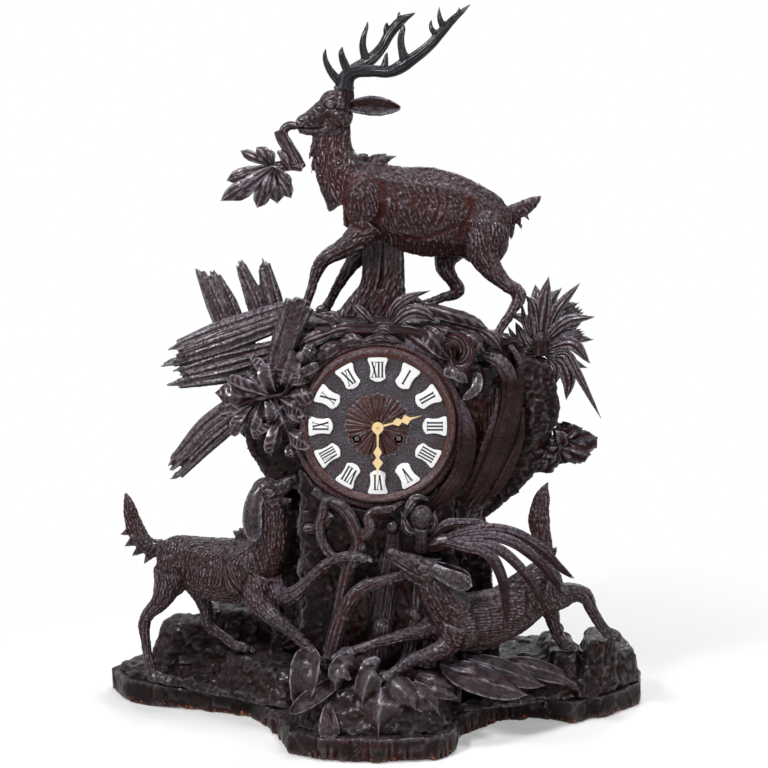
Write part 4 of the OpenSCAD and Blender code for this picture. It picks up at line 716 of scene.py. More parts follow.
def fired_enamel():
    """White enamel with a faint unevenness and fine hairlines."""
    made, tree, shader, where = material("fired_enamel", Coat_Weight=0.6, Coat_Roughness=0.08)
    stain = put(tree, PATCHES, Vector=where, Size=12.0)
    cells = node(tree, "ShaderNodeTexVoronoi", {"Vector": where, "Scale": 160.0}, feature="DISTANCE_TO_EDGE")
    hair = span(tree, cells.outputs["Distance"], 0.0, 0.012, 0.25, 0.0)
    colour = blend(tree, stain["Mask"], (0.82, 0.82, 0.80, 1), (0.74, 0.745, 0.74, 1))
    colour = blend(tree, maths(tree, "MULTIPLY", hair, stain["Mask"]), colour, (0.4, 0.37, 0.33, 1))
    feed(tree, shader.inputs["Base Color"], colour)
    feed(tree, shader.inputs["Roughness"], span(tree, stain["Speck"], 0, 1, 0.16, 0.26))
    bumped(tree, shader, stain["Mask"], 0.3, 0.08)
    return made


def numeral_ink():
    """Blue black enamel paint of the numerals, a little uneven."""
    made, tree, shader, where = material("numeral_enamel", Coat_Weight=0.5, Coat_Roughness=0.1)
    stain = put(tree, PATCHES, Vector=where, Size=5.0)
    feed(tree, shader.inputs["Base Color"],
         blend(tree, stain["Mask"], (0.006, 0.008, 0.02, 1), (0.02, 0.025, 0.05, 1)))
    feed(tree, shader.inputs["Roughness"], span(tree, stain["Speck"], 0, 1, 0.2, 0.35))
    return made


# Colours of the stain: its ground, its lighter grain, the red of the stain in the cuts that also paints the shade in
# hollows and underneath, and the grey of the painted highlight on proud places and of dust with painted sheen on
# faces that look up
DARK, LIGHT = (0.0030, 0.0020, 0.0026, 1), (0.040, 0.027, 0.030, 1)
RED_STAIN_AND_SHADE, DUST_SHEEN_GREY = (0.055, 0.0105, 0.0072, 1), (0.26, 0.24, 0.29, 1)
fur_wood = stained_wood("carved_fur_wood", DARK, LIGHT, RED_STAIN_AND_SHADE, DUST_SHEEN_GREY, gouge=3.6, relief=1.5)
leaf_wood = stained_wood("carved_leaf_wood", DARK, LIGHT, RED_STAIN_AND_SHADE, DUST_SHEEN_GREY, gouge=7.0, relief=0.3, redness=0.9,
                         wax=1.0, dust_and_sheen=0.12)
rock_wood = stained_wood("hewn_rock_wood", DARK, (0.015, 0.0100, 0.0110, 1), RED_STAIN_AND_SHADE, (0.12, 0.108, 0.125, 1), gouge=5.0,
                         relief=1.2, wax=0.6, chips=9.0, dust_and_sheen=0.3)
log_wood = stained_wood("split_log_wood", DARK, (0.11, 0.09, 0.104, 1), RED_STAIN_AND_SHADE, (0.30, 0.285, 0.33, 1), gouge=3.5,
                        relief=0.8, grain=0.8, turn=(0, 18, 0), redness=0.5)
reed_wood = stained_wood("carved_reed_wood", DARK, LIGHT, (0.062, 0.013, 0.0085, 1), DUST_SHEEN_GREY, gouge=2.6, relief=0.5,
                         redness=0.75, wax=1.0, dust_and_sheen=0.7)
board_wood = stained_wood("case_board_wood", DARK, (0.060, 0.029, 0.020, 1), RED_STAIN_AND_SHADE, (0.11, 0.085, 0.075, 1), gouge=2.2,
                          relief=0.12, grain=0.45, turn=(0, 90, 0), redness=0.45, shine=0.5, rough=0.4, wax=0.35)
antler_wood = stained_wood("antler_wood", (0.0065, 0.0062, 0.0085, 1), (0.0155, 0.0145, 0.019, 1),
                           (0.024, 0.011, 0.009, 1), (0.07, 0.072, 0.09, 1), gouge=3.4, relief=0.3, rough=0.28,
                           wax=0.8, redness=0.5)
ring_wood = stained_wood("turned_ring_wood", DARK, LIGHT, (0.15, 0.033, 0.012, 1), DUST_SHEEN_GREY, gouge=3.0, relief=0.15,
                         redness=1.0, rough=0.33)
dial_black = stippled_black()
brass_old = aged_metal("aged_brass", (0.62, 0.42, 0.16, 1), (0.25, 0.15, 0.06, 1))
gilt = aged_metal("gilt_brass", (0.80, 0.60, 0.33, 1), (0.5, 0.33, 0.15, 1), rough=0.28, tarnish=0.35)
arbor_steel = aged_metal("darkened_steel", (0.16, 0.14, 0.12, 1), (0.06, 0.05, 0.045, 1), rough=0.4, tarnish=0.5)
steel = aged_metal("polished_steel", (0.56, 0.57, 0.6, 1), (0.3, 0.29, 0.28, 1), rough=0.27, tarnish=0.4)
enamel = fired_enamel()
ink = numeral_ink()

# The stag, drawn from the ledge

STAG_LIMBS = [
    ([(-34, 0, 116, 27), (-22, 0, 116, 37), (-6, 0, 114.5, 39), (9, 0, 111.5, 39.5), (30, 0, 106, 44),
      (50, 0, 103, 46), (71, 0, 99.5, 43.5), (92, 0, 93.5, 38.5), (112, 0, 86, 34), (128, 0, 82, 22)], 0.6),
    ([(-22, 0, 120, 33), (-36, 0, 141, 26), (-44, 0, 163, 20.5), (-43, 0, 186, 17), (-41, 0, 203, 14)], 0.68),
    ([(-44, 0, 203, 16), (-55, 0, 198, 12.6), (-66, 0, 192, 9.8), (-76, 0, 189.5, 7.8), (-80, 0, 190, 5)], 0.8),
    ([(-44, 0, 192, 11), (-58, 0, 185, 7), (-70, 0, 183, 5.4), (-77, 0, 183, 3.6)], 0.85),
    ([(-10, -14, 92, 18), (-20, -16, 78, 14), (-38, -16, 66, 9.4), (-52, -16, 58, 7.8), (-58, -16, 50, 6.8),
      (-64, -16, 33, 4.8), (-69, -16, 18, 4.8), (-73, -16, 9, 5.8)], 0.9),
    ([(-6, 12, 88, 16), (-14, 14, 68, 11.5), (-28, 14, 48, 7.6), (-37, 14, 34, 5.6), (-46, 14, 18, 4.6),
      (-51, 14, 9, 5.4)], 0.9),
    ([(108, -12, 90, 22), (103, -18, 68, 18), (109, -24, 51, 12), (124, -30, 35, 7.4), (137, -33, 24, 7),
      (131, -37, 10, 5), (119, -41, -8, 4.6), (108, -44, -26, 5), (103, -45, -33, 5.4)], 0.92),
    ([(88, 8, 84, 22), (73, 14, 66, 15.5), (67, 14, 50, 10.5), (75, 14, 34, 6.8), (80, 14, 25, 6.8),
      (64, 14, 17, 4.8), (48, 14, 11, 4.8), (40, 14, 8, 5)], 0.92),
    ([(122, 0, 97, 8), (134, 0, 103, 8.5), (147, 0, 109, 8), (156, 0, 115, 5), (161, 0, 119, 1.2)], 0.55),
]
STAG_MASSES = [
    ((-14, -13, 114), (21, 17, 31), (0, -8, 0)), ((-14, 13, 112), (20, 16, 30), (0, -8, 0)),
    ((106, -10, 80), (23, 19, 30), (0, -6, 0)), ((98, 10, 82), (22, 18, 30), (0, 6, 0)),
    ((-42, 0, 207), (16, 11.5, 15), (0, 0, 0)), ((-47, -9, 211), (7, 4, 3), (0, -15, 0)),
    ((-47, 9, 211), (7, 4, 3), (0, -15, 0)), ((-76, -5, 190), (5, 3, 4.4), (0, 0, 0)),
    ((-76, 5, 190), (5, 3, 4.4), (0, 0, 0)), ((-58, -16, 50), (7, 6, 8), (0, 20, 0)),
    ((137, -33, 24), (7.5, 6.5, 8), (0, 0, 0)), ((80, 14, 25), (7, 6, 7.5), (0, 0, 0)),
    ((-37, 14, 34), (6, 5.5, 7), (0, 20, 0)), ((-36, -8, 196), (12, 6, 12), (0, 0, 0)),
    ((-36, 8, 196), (12, 6, 12), (0, 0, 0)),
]
STAG_LINES = [
    ([(-2, 139), (-10, 140), (-22, 137), (-29, 128), (-32, 115), (-32, 101), (-27, 91), (-16, 87), (-4, 92), (4, 103),
      (6, 119), (4, 132), (-2, 139)], 8, 2.0), ([(-4, 136), (-11, 130), (-13, 117), (-10, 109)], 4, 1.0),
    ([(-22, 148), (-10, 149), (3, 148), (15, 144), (27, 136)], 5, 1.3),
    ([(9, 138), (16, 129), (19, 115), (17, 99)], 5, 1.1), ([(21, 141), (31, 130), (36, 113), (34, 95)], 5, 1.2),
    ([(35, 142), (44, 131), (49, 113), (45, 95)], 5, 1.4),
    ([(47, 142), (56, 130), (60, 113), (55, 95), (46, 87)], 5, 1.5),
    ([(57, 139), (66, 128), (68, 111), (61, 95), (50, 85)], 5, 1.2),
    ([(9, 88), (23, 80), (40, 77), (56, 82), (70, 88), (83, 93)], 7, 1.5),
    ([(7, 87), (10, 78), (7, 70), (-2, 67)], 5, 1.6),
    ([(72, 136), (82, 128), (89, 115), (91, 103), (85, 93), (79, 80), (78, 66)], 9, 2.0),
    ([(97, 99), (112, 101), (123, 93), (126, 78), (121, 62)], 5, 1.0),
    ([(101, 117), (116, 109), (126, 97), (130, 85)], 4, 0.9), ([(-30, 76), (-18, 80), (-2, 83), (9, 86)], 4, 1.2),
    ([(-40, 62), (-22, 70), (-8, 76)], 3.4, 0.9), ([(112, 58), (118, 48), (128, 38)], 3, 0.9),
    ([(-80, 185.5), (-71, 184), (-60, 183.5), (-52, 186)], 2.0, 2.2), ([(-42, 195), (-36, 188), (-34, 178)], 3, 1.0),
    ([(-50, 203), (-55, 198)], 2, 0.9),
    ([(-52, 207.5), (-50, 203.5), (-45, 202), (-41, 204.5), (-40, 208)], 1.8, 1.3),
    ([(-52, 208), (-49, 212), (-43, 212.5), (-39, 209)], 2.2, 1.7), ([(-50, 216), (-43, 217.5), (-36, 215)], 2, 0.9),
    ([(-78, 193), (-74, 190.5), (-75, 187)], 2.6, 2.0), ([(-68, 195), (-64, 190), (-60, 188)], 2.4, 0.9),
    ([(-31, 216), (-27, 200), (-27, 184), (-25, 166)], 4, 0.8),
]
STAG_FLOW = [
    (-40, 200, 200), (-60, 190, 200), (-35, 170, -95), (-50, 155, -80), (-28, 160, -100), (-38, 125, -75),
    (-18, 115, -85), (-10, 145, -20), (20, 145, -30), (50, 143, -25), (80, 132, -35), (20, 115, -60), (45, 110, -65),
    (60, 95, -60), (30, 70, -85), (60, 68, -80), (90, 75, -80), (105, 85, -80), (110, 110, -60), (122, 75, -85),
    (-30, 70, -150), (100, 55, -60),
]
STAG_BODY = [(-35, 150), (-10, 155), (30, 150), (71, 142), (112, 119), (134, 106), (134, 72), (122, 48), (96, 50),
             (70, 58), (30, 63), (0, 74), (-30, 80), (-42, 110)]
STAG_BELLY = [(10, 86), (40, 75), (60, 80), (82, 92), (92, 58), (70, 56), (40, 58), (10, 72)]
STAG_MANE = [(-58, 178), (-34, 178), (-26, 156), (-30, 130), (-47, 130), (-64, 145), (-64, 162)]
STAG_LOCKS = [
    (-56, 178, -66, 166, 0, 6), (-57, 170, -68, 154, -3, 7), (-54, 160, -66, 141, 3, 8), (-50, 150, -61, 131, -2, 7),
    (-44, 138, -52, 122, 2, 5), (-22, 152, -8, 160, 0, 6), (-12, 150, 10, 160, 2, 6), (-4, 149, 19, 158, -3, 6),
    (128, 100, 136, 86, 0, 6), (134, 103, 143, 84, 2, 5), (140, 105, 150, 94, -2, 4), (130, 92, 132, 74, 0, 6),
    (-40, 150, -51, 136, -11, 6), (-38, 165, -52, 150, -12, 5), (-40, 160, -54, 146, 11, 5),
]
STAG_SKIN = 1.04  # size of the faces of the skin
HOOFS = [(-77, -16, 5, 0), (-55, 14, 5, 0), (99, -47, -36, 30), (36, 14, 4.5, 0)]


def spikes(places, ground):
    """Pointed locks of hair, each from its root to its tip, drawn from the ground."""
    locks = []
    for x0, z0, x1, z1, y, r in places:
        root, tip = z0 + ground, z1 + ground
        path = [(x0, y, root, r), ((x0 + x1) / 2, y, (root + tip) / 2 + 1, r * 0.75), (x1, y, tip, 0.5)]
        locks.append(stretched(path, flat=0.6, steps=4))
    return locks


def eye(x, y, z, r, side):
    """An eyeball between two lids, on the near side (-1) or the far side (1)."""
    turn = 0 if side < 0 else 180
    lids = [stretched([(x - r * 1.5, y, z - 0.2, ends), (x, y + side * out, z + up, thick), (x + r * 1.6, y, z, 0.5)])
            for ends, out, up, thick in ((0.6, 1.0, r * 1.1, 1.0), (0.5, 0.8, -r * 1.0, 0.8))]
    return [ball((x, y, z), (r, r * 0.8, r), (0, 0, turn), 20, 12)] + lids


def make_stag():
    parts = [ball((x, y, z + STAND_Z), size, turn) for (x, y, z), size, turn in STAG_MASSES]
    parts += limbs(STAG_LIMBS, STAND_Z)
    for x, y, z, tilt in HOOFS:
        parts.append(ball((x, y, z + STAND_Z), (8, 5.5, 5.2), (0, tilt, 0)))
    parts += spikes(STAG_LOCKS, STAND_Z)
    for x, y in ((-33, -7), (-38, 7)):
        parts.append(stretched([(x - 2, y, 204 + STAND_Z, 9), (x, y * 1.2, 219 + STAND_Z, 6)]))
    stag = melted(joined(parts, "stag_carved"), STAG_SKIN, 5)
    hewn(stag, 7.0, 0.5, 31, 0.9)
    roughened(stag, 7.0, 1.3)
    strokes = [(points, width, depth, 0) for points, width, depth in STAG_LINES]
    strokes += fur(STAG_BODY, STAG_FLOW, 3.9, 9, 1.6, 0.85, 3)
    strokes += fur(STAG_BELLY, STAG_FLOW, 3.4, 12, 1.9, 1.0, 4)
    strokes += fur(STAG_MANE, STAG_FLOW, 4.4, 15, 2.6, 1.5, 5, wave=0.5)
    strokes += fur([(-30, 215), (-24, 190), (-22, 160), (-30, 150), (-36, 180)], STAG_FLOW, 4, 12, 1.6, 0.5, 6)
    strokes += fur([(120, 108), (158, 118), (150, 96), (136, 76), (126, 84)], [(140, 100, -45), (130, 85, -80)], 3.4,
                   9, 1.8, 0.9, 7)
    strokes += fur([(-52, 202), (-34, 202), (-36, 186), (-56, 190)], STAG_FLOW, 3.6, 6, 1.2, 0.35, 8)
    for path, _ in STAG_LIMBS[4:8]:
        strokes += lengthwise(path[1:], 18, 1.6, 0.8, 9)
    carved(stag, lifted(strokes, STAND_Z))
    ears = [leaf([(-32, s * 8, 205 + STAND_Z), (-8, s * 16, 206 + STAND_Z), (22, s * 18, 203.5 + STAND_Z)], 17,
                 (0, s, 0.1), "ear", cup=-0.22, rib=-0.8, rows=24, columns=10) for s in (-1, 1)]
    details = [walled(ears, "ears", 2.6)]
    details += eye(-46, -10.6, 207.5 + STAND_Z, 2.5, -1) + eye(-46, 10.6, 207.5 + STAND_Z, 2.5, 1)
    for x, y in ((-30, -9.5), (-36, 9.5)):
        details.append(stretched([(x - 2, y * 0.7, 202 + STAND_Z, 8), (x, y * 0.9, 215 + STAND_Z, 7.4),
                                  (x, y, 223.6 + STAND_Z, 6.6)], ridged(9, 0.1)))
    for x, y, z, tilt in HOOFS:
        details.append(stretched([(x + 1.5, y, z + STAND_Z + 2, 5), (x - 4, y, z + STAND_Z - 1, 4.6),
                                  (x - 7, y, z + STAND_Z - 2.6, 1.8)], flat=0.9))
    stag = joined([stag] + details, "stag_carved")
    finished(stag, fur_wood, "stag")


ANTLERS = [
    [(-30, 630, 6.4), (-27, 642, 6.5), (-6, 646, 5.8), (11, 645, 5.6), (21, 649, 6.6), (35, 658, 5.8), (49, 669, 5.1),
     (60, 681, 4.7), (71, 693, 3.8), (80, 701, 2.6), (88, 708, 0.6)],
    [(-27, 643, 4.9), (-33, 656, 4.2), (-35, 664, 3.1), (-34, 670, 0.7)],
    [(5, 646, 4.0), (7, 653, 3.5), (8, 659, 2.3), (9, 664, 0.6)],
    [(27, 654, 6.1), (23, 665, 4), (22, 676, 3.5), (24, 685, 2.6), (24, 691, 0.6)],
    [(57, 679, 3.8), (52, 683, 3), (50, 688, 1.9), (51, 693, 0.5)],
    [(63, 685, 4), (59, 693, 3), (58, 699, 1.9), (58, 705, 0.5)], [(72, 694, 2.6), (76, 700, 1.7), (77, 705, 0.5)],
    [(-36, 630, 6.3), (-34, 641, 6.2), (-23, 651, 5.8), (-8, 660, 6.4), (4, 673, 5.4), (11, 685, 5.4), (20, 696, 5.4),
     (26, 701, 4.2), (32, 704, 2.3), (38, 707, 0.5)],
    [(-36, 636, 4.9), (-44, 645, 4.4), (-50, 655, 3.3), (-52, 663, 2.4), (-51, 670, 0.6)],
    [(-12, 661, 4.9), (-15, 673, 3.8), (-14, 683, 3), (-11, 692, 1.9), (-10, 698, 0.5)],
    [(10, 682, 3.8), (8, 690, 3), (9, 697, 1.4)], [(22, 700, 3.5), (21, 704, 2.1), (21, 708, 0.6)],
]
NEAR_SPREAD = ([-32, -27, -10, 15, 27, 45, 60, 75, 88], [-9, -15, -28, -38, -40, -42, -42, -40, -37])
FAR_SPREAD = ([-38, -35, -24, -8, 7, 22, 37], [9, 14, 24, 34, 40, 42, 40])


def make_antlers():
    parts, strokes = [], []
    for i, path in enumerate(ANTLERS):
        spread = NEAR_SPREAD if i < 7 else FAR_SPREAD
        beam = i in (0, 7)
        points = [(x, float(np.interp(x if beam else path[0][0], *spread)), z, r) for x, z, r in path]
        parts.append(stretched(points, steps=8))
        strokes += lengthwise(points, 24 if beam else 7, 1.6, 0.5, 20 + i)
    for x, y in ((-30, -9.5), (-36, 9.5)):
        parts += [ball((x + 4.6 * math.cos(i), y + 4.6 * math.sin(i), 631 + (i % 2)), (3, 3, 2.6)) for i in range(6)]
    antlers = melted(joined(parts, "antlers_carved"), 0.8, 4)
    carved(antlers, strokes)
    finished(kept_in(antlers), antler_wood, "antlers", slot="antler_wood")


def spread_leaves(drawn, bulge, facing=FACING_US, lean=0.0, **look):
    """Leaves drawn in the front view: root x, z, tip x, z, width, depth and edge."""
    leaves = []
    for i, (x0, z0, x1, z1, width, y, edge) in enumerate(drawn):
        lift = bulge * (0.7 + 0.5 * ((i * 37) % 10) / 10)
        mid = ((x0 + x1) / 2, y - lift, (z0 + z1) / 2)
        far = (x0 + (x1 - x0) * 0.82, y - lift * 0.6, z0 + (z1 - z0) * 0.82)
        turned = (facing[0] + lean * math.sin(2.4 * i), facing[1], facing[2] + lean * math.cos(1.7 * i))
        leaves.append(leaf([(x0, y + 2, z0), mid, far, (x1, y + 1.5, z1)], width, turned, edge, **look))
    return leaves


BRANCH_ROOT = (-101, 556)
BRANCH_LEAVES = [
    (-134, 571, 11, -18, "blade"), (-118, 575, 15, -18, "broad"), (-104, 573, 8, -18, "blade"),
    (-148, 542, 16, -18, "blade"), (-154, 522, 15, -18, "blade"), (-145, 522, 17, -18, "blade"),
    (-118, 515, 17, -18, "broad"), (-98, 519, 18, -18, "broad"), (-84, 524, 15, -18, "blade"),
    (-83, 536, 12, -23, "blade"), (-134, 533, 14, -23, "blade"), (-108, 527, 14, -23, "blade"),
]
BRANCH_STEMS = [
    [(-79, -9, 595, 4), (-88, -9, 594, 5), (-92, -9, 588, 5.5), (-88, -9, 579, 5.5), (-81, -9, 567, 5.5),
     (-73, -9, 554, 4)], [(-98, -13, 590, 3.4), (-94, -13, 581, 5), (-88, -13, 572, 5.5), (-80, -13, 559, 4.5)],
    [(-73, -13, 554, 4), (-80, -13, 556, 5.5), (-90, -13, 556, 6), (-101, -13, 556, 4.5)],
    [(-97, -17, 571, 2), (-91, -17, 564, 5), (-85, -17, 552, 3)],
]


def make_mouth_branch():
    stem = melted(joined([stretched(path, ridged(4, 0.16), twist=1.6) for path in BRANCH_STEMS], "stems"), 0.8, 2)
    carved(stem, [cut for i, path in enumerate(BRANCH_STEMS) for cut in lengthwise(path, 9, 1.4, 0.7, 30 + i)])
    leaves = spread_leaves([(*BRANCH_ROOT, *tip) for tip in BRANCH_LEAVES], 4, fold=0.14, ridges=3, cup=0.06, rib=0.9,
                           rows=24)
    spray = joined([stem, walled(leaves, "branch_leaves", 1.9)], "mouth_branch_carved")
    finished(kept_in(spray), leaf_wood, "mouth_branch")


# The hounds, drawn from the turf

STANDING_LIMBS = [
    ([(-220, -3, 128, 17), (-206, -5, 129, 25), (-187, -9, 126, 28.5), (-164, -14, 121, 33.5), (-140, -22, 121, 35),
      (-121, -30, 126, 31), (-107, -35, 130, 21)], 0.64),
    ([(-120, -34, 132, 28), (-108, -39, 149, 21), (-103, -43, 168, 17), (-104, -45, 186, 15), (-108, -46, 203, 14.5)],
     0.8),
    ([(-111, -46, 208, 13), (-100, -48, 209, 10), (-92, -50, 213.5, 8.2), (-85, -50, 219.5, 5.4),
      (-81, -50, 223, 3.2)], 0.8), ([(-106, -47, 199, 8.5), (-95, -49, 198, 4.6), (-84, -50, 199.5, 2.4)], 0.85),
    ([(-219, -2, 139, 10), (-230, -1, 140, 9.5), (-240, 0, 148, 9.5), (-247, 2, 162, 9.5), (-251, 2, 177, 7.5),
      (-253, 2, 188, 5), (-255, 2, 196, 1.5)], 0.62),
    ([(-208, -13, 118, 19), (-213, -12, 101, 14.5), (-221, -9, 85, 9.6), (-234, -6, 71, 6.8), (-238, -5, 60, 6.2),
      (-237, -5, 43, 5), (-234, -5, 21, 5), (-231, -6, 9, 6)], 1.0),
    ([(-192, 6, 108, 15), (-184, 10, 92, 10.5), (-177, 13, 72, 7.5), (-175, 13, 55, 6), (-160, 11, 43, 5.2),
      (-149, 10, 34, 5.8)], 1.0),
    ([(-116, -42, 116, 17), (-120, -51, 101, 12.5), (-107, -61, 88, 9), (-88, -69, 75, 6.6), (-70, -73, 59, 5.8),
      (-63, -74, 49, 5.8)], 1.0),
    ([(-106, -38, 110, 16), (-94, -54, 103, 10.5), (-79, -69, 112, 7.6), (-65, -74, 127, 6), (-52, -77, 140, 5.6),
      (-38, -80, 149, 5.2), (-28, -84, 151, 5.6)], 1.0),
]
STANDING_MASSES = [
    ((-134, -41, 127), (17, 10, 27), (0, 24, 0)), ((-128, -8, 124), (17, 9, 24), (0, 20, 0)),
    ((-207, -15, 116), (19, 10, 25), (0, 10, 0)), ((-200, 7, 118), (18, 9, 24), (0, 10, 0)),
    ((-109, -46, 208), (15, 12, 13.5), (0, 0, 0)), ((-81, -50, 222.5), (3.8, 3.8, 3.4), (0, 0, 0)),
    ((-238, -5, 60), (6.5, 6, 7.5), (0, 20, 0)), ((-121, -51, 100), (9, 8, 11), (0, 0, 0)),
    ((-79, -70, 111), (8, 7, 8), (0, 0, 0)), ((-52, -77, 140), (6.4, 6, 6), (0, 0, 0)),
    ((-66, -74, 54), (6.6, 6.2, 6.4), (0, 0, 0)), ((-106, -55, 211), (6, 3, 2.6), (0, -10, 0)),
    ((-106, -38, 211), (6, 3, 2.6), (0, -10, 0)), ((-104, -38, 112), (11, 10, 15), (0, 20, 0)),
]
STANDING_PAWS = [(-226, -7, 5, 0, 1), (-142, 10, 31, 0, 1), (-56, -76, 43, 30, 1), (-20, -87, 150, -8, 1)]
STANDING_FLOW = [
    (-110, 208, 200), (-105, 180, -85), (-110, 150, -80), (-120, 135, -70), (-140, 150, 200), (-170, 150, 185),
    (-140, 120, -60), (-165, 125, -100), (-190, 120, -95), (-205, 120, -85), (-212, 100, -100), (-115, 110, -70),
    (-160, 95, 175), (-245, 160, 110),
]
STANDING_LINES = [
    ([(-146, 152), (-154, 138), (-148, 120), (-136, 104), (-124, 98)], 4.5, 1.8),
    ([(-134, 156), (-122, 146), (-116, 132), (-114, 116)], 4, 1.4), ([(-158, 150), (-162, 136), (-158, 120)], 3, 0.9),
    ([(-167, 148), (-172, 134), (-168, 116)], 3, 1.0), ([(-176, 146), (-181, 132), (-177, 114)], 3, 1.0),
    ([(-186, 144), (-190, 130), (-187, 112)], 3.4, 1.3),
    ([(-150, 106), (-166, 100), (-180, 104), (-188, 110)], 4, 1.2),
    ([(-196, 148), (-192, 128), (-196, 106), (-203, 94)], 4, 1.5),
    ([(-103, 203), (-96, 204), (-88, 207), (-81, 213)], 3.0, 2.6), ([(-108, 196), (-102, 190), (-94, 192)], 3, 1.2),
    ([(-98, 218), (-90, 219)], 2, 0.8), ([(-111, 203), (-107, 201), (-102, 203)], 1.6, 0.9),
    ([(-112, 211), (-107, 214), (-101, 211)], 2, 1.2), ([(-82, 218), (-84, 221)], 1.6, 1.0),
    ([(-104, 192), (-96, 194)], 3, 0.9),
]
LEAP_LIMBS = [
    ([(54, -78, 90, 18), (72, -75, 84, 28), (98, -68, 83, 30), (124, -62, 90, 27), (148, -52, 104, 26),
      (164, -46, 116, 23), (174, -41, 122, 14)], 0.7),
    ([(72, -77, 94, 25), (60, -82, 108, 19), (52, -86, 122, 16), (47, -89, 135, 13.5)], 0.86),
    ([(46, -90, 138, 13), (37, -91, 142.5, 12), (28, -92, 147, 10), (20, -93, 151.5, 8), (14.5, -93, 156, 5.8)], 0.8),
    ([(45, -91, 129, 9), (33, -93, 135, 6.4), (23, -93, 142.5, 4.4)], 0.85),
    ([(74, -88, 82, 17), (67, -93, 66, 11), (52, -97, 59, 8), (34, -101, 54, 6.2), (20, -106, 46, 5.6),
      (12, -108, 40, 5.8)], 1.0),
    ([(60, -70, 80, 15), (42, -76, 74, 9), (20, -83, 71, 6.4), (0, -88, 66, 5.6), (-17, -93, 62, 5.6),
      (-24, -94, 60, 5.8)], 1.0),
    ([(156, -56, 110, 23), (173, -52, 103, 15.5), (194, -46, 105, 9.6), (204, -44, 102, 8), (213, -39, 85, 6),
      (225, -36, 66, 5.6), (232, -35, 59, 6)], 1.0),
    ([(162, -36, 98, 16), (173, -28, 80, 9), (178, -26, 62, 6), (183, -26, 51, 5.8), (188, -27, 46, 5.8)], 1.0),
    ([(168, -38, 122, 8), (166, -34, 144, 8.5), (160, -30, 174, 11.5), (163, -28, 197, 8.5), (168.5, -28, 213, 1.4)],
     0.6),
]
LEAP_MASSES = [
    ((80, -88, 82), (17, 11, 22), (0, -25, 0)), ((160, -55, 108), (20, 12, 24), (0, -40, 0)),
    ((46, -90, 138), (14.5, 12, 13), (0, 0, 0)), ((13.5, -93, 158), (4.6, 4.4, 4), (0, 0, 0)),
    ((204, -44, 102), (8.5, 8, 8.5), (0, 0, 0)), ((66, -93, 66), (9, 8.5, 9), (0, 0, 0)),
    ((180, -26, 62), (7, 6.5, 7), (0, 0, 0)), ((20, -83, 71), (7, 6.6, 6.6), (0, 0, 0)),
    ((44, -100, 146), (6, 3, 2.6), (0, 25, 0)), ((44, -81, 146), (6, 3, 2.6), (0, 25, 0)),
]
LEAP_PAWS = [(7, -109, 38.5, -10, -1), (-30, -95, 58, 0, -1), (237, -34, 57, 30, 1), (191, -27, 44.5, 0, 1)]
LEAP_FLOW = [(46, 138, 145), (55, 120, -60), (70, 95, -45), (90, 95, 10), (120, 105, 25), (150, 120, 40),
             (90, 70, -20), (120, 75, 0), (155, 100, -60), (165, 120, -80), (165, 170, 90), (160, 200, 90)]
LEAP_LINES = [
    ([(70, 102), (66, 84), (74, 66), (86, 62)], 4, 1.4), ([(88, 104), (96, 90), (96, 72), (90, 62)], 4, 1.4),
    ([(106, 104), (111, 90), (108, 72)], 3, 1.0), ([(118, 108), (123, 94), (120, 76)], 3, 1.1),
    ([(130, 113), (135, 98), (131, 82)], 3, 1.1), ([(142, 120), (146, 104), (144, 90), (152, 82)], 4.5, 1.6),
    ([(15, 151), (22, 146), (30, 141), (38, 137), (42, 137)], 2.2, 2.2), ([(44, 128), (36, 130), (32, 134)], 3, 1.1),
    ([(30, 152), (22, 157)], 2, 0.8), ([(38, 142), (41, 138.5), (46, 139)], 1.6, 0.9),
    ([(38, 147), (43, 150), (48, 147)], 2, 1.2),
]
TOES = (-1.5, -0.5, 0.5, 1.5)
HOUND_SKIN = 0.94  # size of the faces of the skin


def make_hound(node_name, masses, paths, paws, lines, flow, coats, eyes, ears, tufts, seed):
    z = TURF_Z
    parts = [ball((at[0], at[1], at[2] + z), size, turn) for at, size, turn in masses] + limbs(paths, z)
    for x, y, pz, tilt, lead in paws:
        parts.append(ball((x - lead, y, pz + z + 1), (9, 7.4, 5.8), (0, tilt, 0)))
        for k in TOES:
            ahead = 7.5 - 1.2 * abs(k)
            drop = ahead * math.sin(math.radians(tilt)) * lead
            parts.append(ball((x + lead * ahead, y + 3.6 * k, pz + z - 0.6 - drop), (4.6, 1.9, 3.6), (0, tilt, 0), 12,
                              8))
    parts += spikes(tufts, z)
    hound = melted(joined(parts, node_name + "_carved"), HOUND_SKIN, 5)
    hewn(hound, 6.0, 0.45, seed, 0.8)
    roughened(hound, 6.0, 1.1)
    strokes = [(points, width, depth, 0) for points, width, depth in lines]
    for i, (area, spacing, length, width, depth, wave) in enumerate(coats):
        strokes += fur(area, flow, spacing, length, width, depth, seed + i, wave=wave)
    for path, _ in paths[5:9]:
        strokes += lengthwise(path[1:], 16, 1.6, 0.8, seed)
    carved(hound, lifted(strokes, z))
    flaps = [leaf(raised(points, z), width, facing, "flap", cup=0.16, rib=0.3, rows=24, columns=10)
             for points, width, facing in ears]
    details = [walled(flaps, "ears", 2.8)]
    for x, y, ez, r, side in eyes:
        details += eye(x, y, ez + z, r, side)
    for x, y, pz, tilt, lead in paws:
        drop = 10 * math.sin(math.radians(tilt)) * lead
        for k in TOES:
            claw = [(x + lead * 10.5, y + 3.6 * k, pz + z - 0.8 - drop, 1.4),
                    (x + lead * 14.5, y + 3.8 * k, pz + z - 3.6 - drop, 0.4)]
            details.append(stretched(claw, steps=2, sides=2))
    finished(kept_in(joined([hound] + details, node_name + "_carved")), fur_wood, node_name)


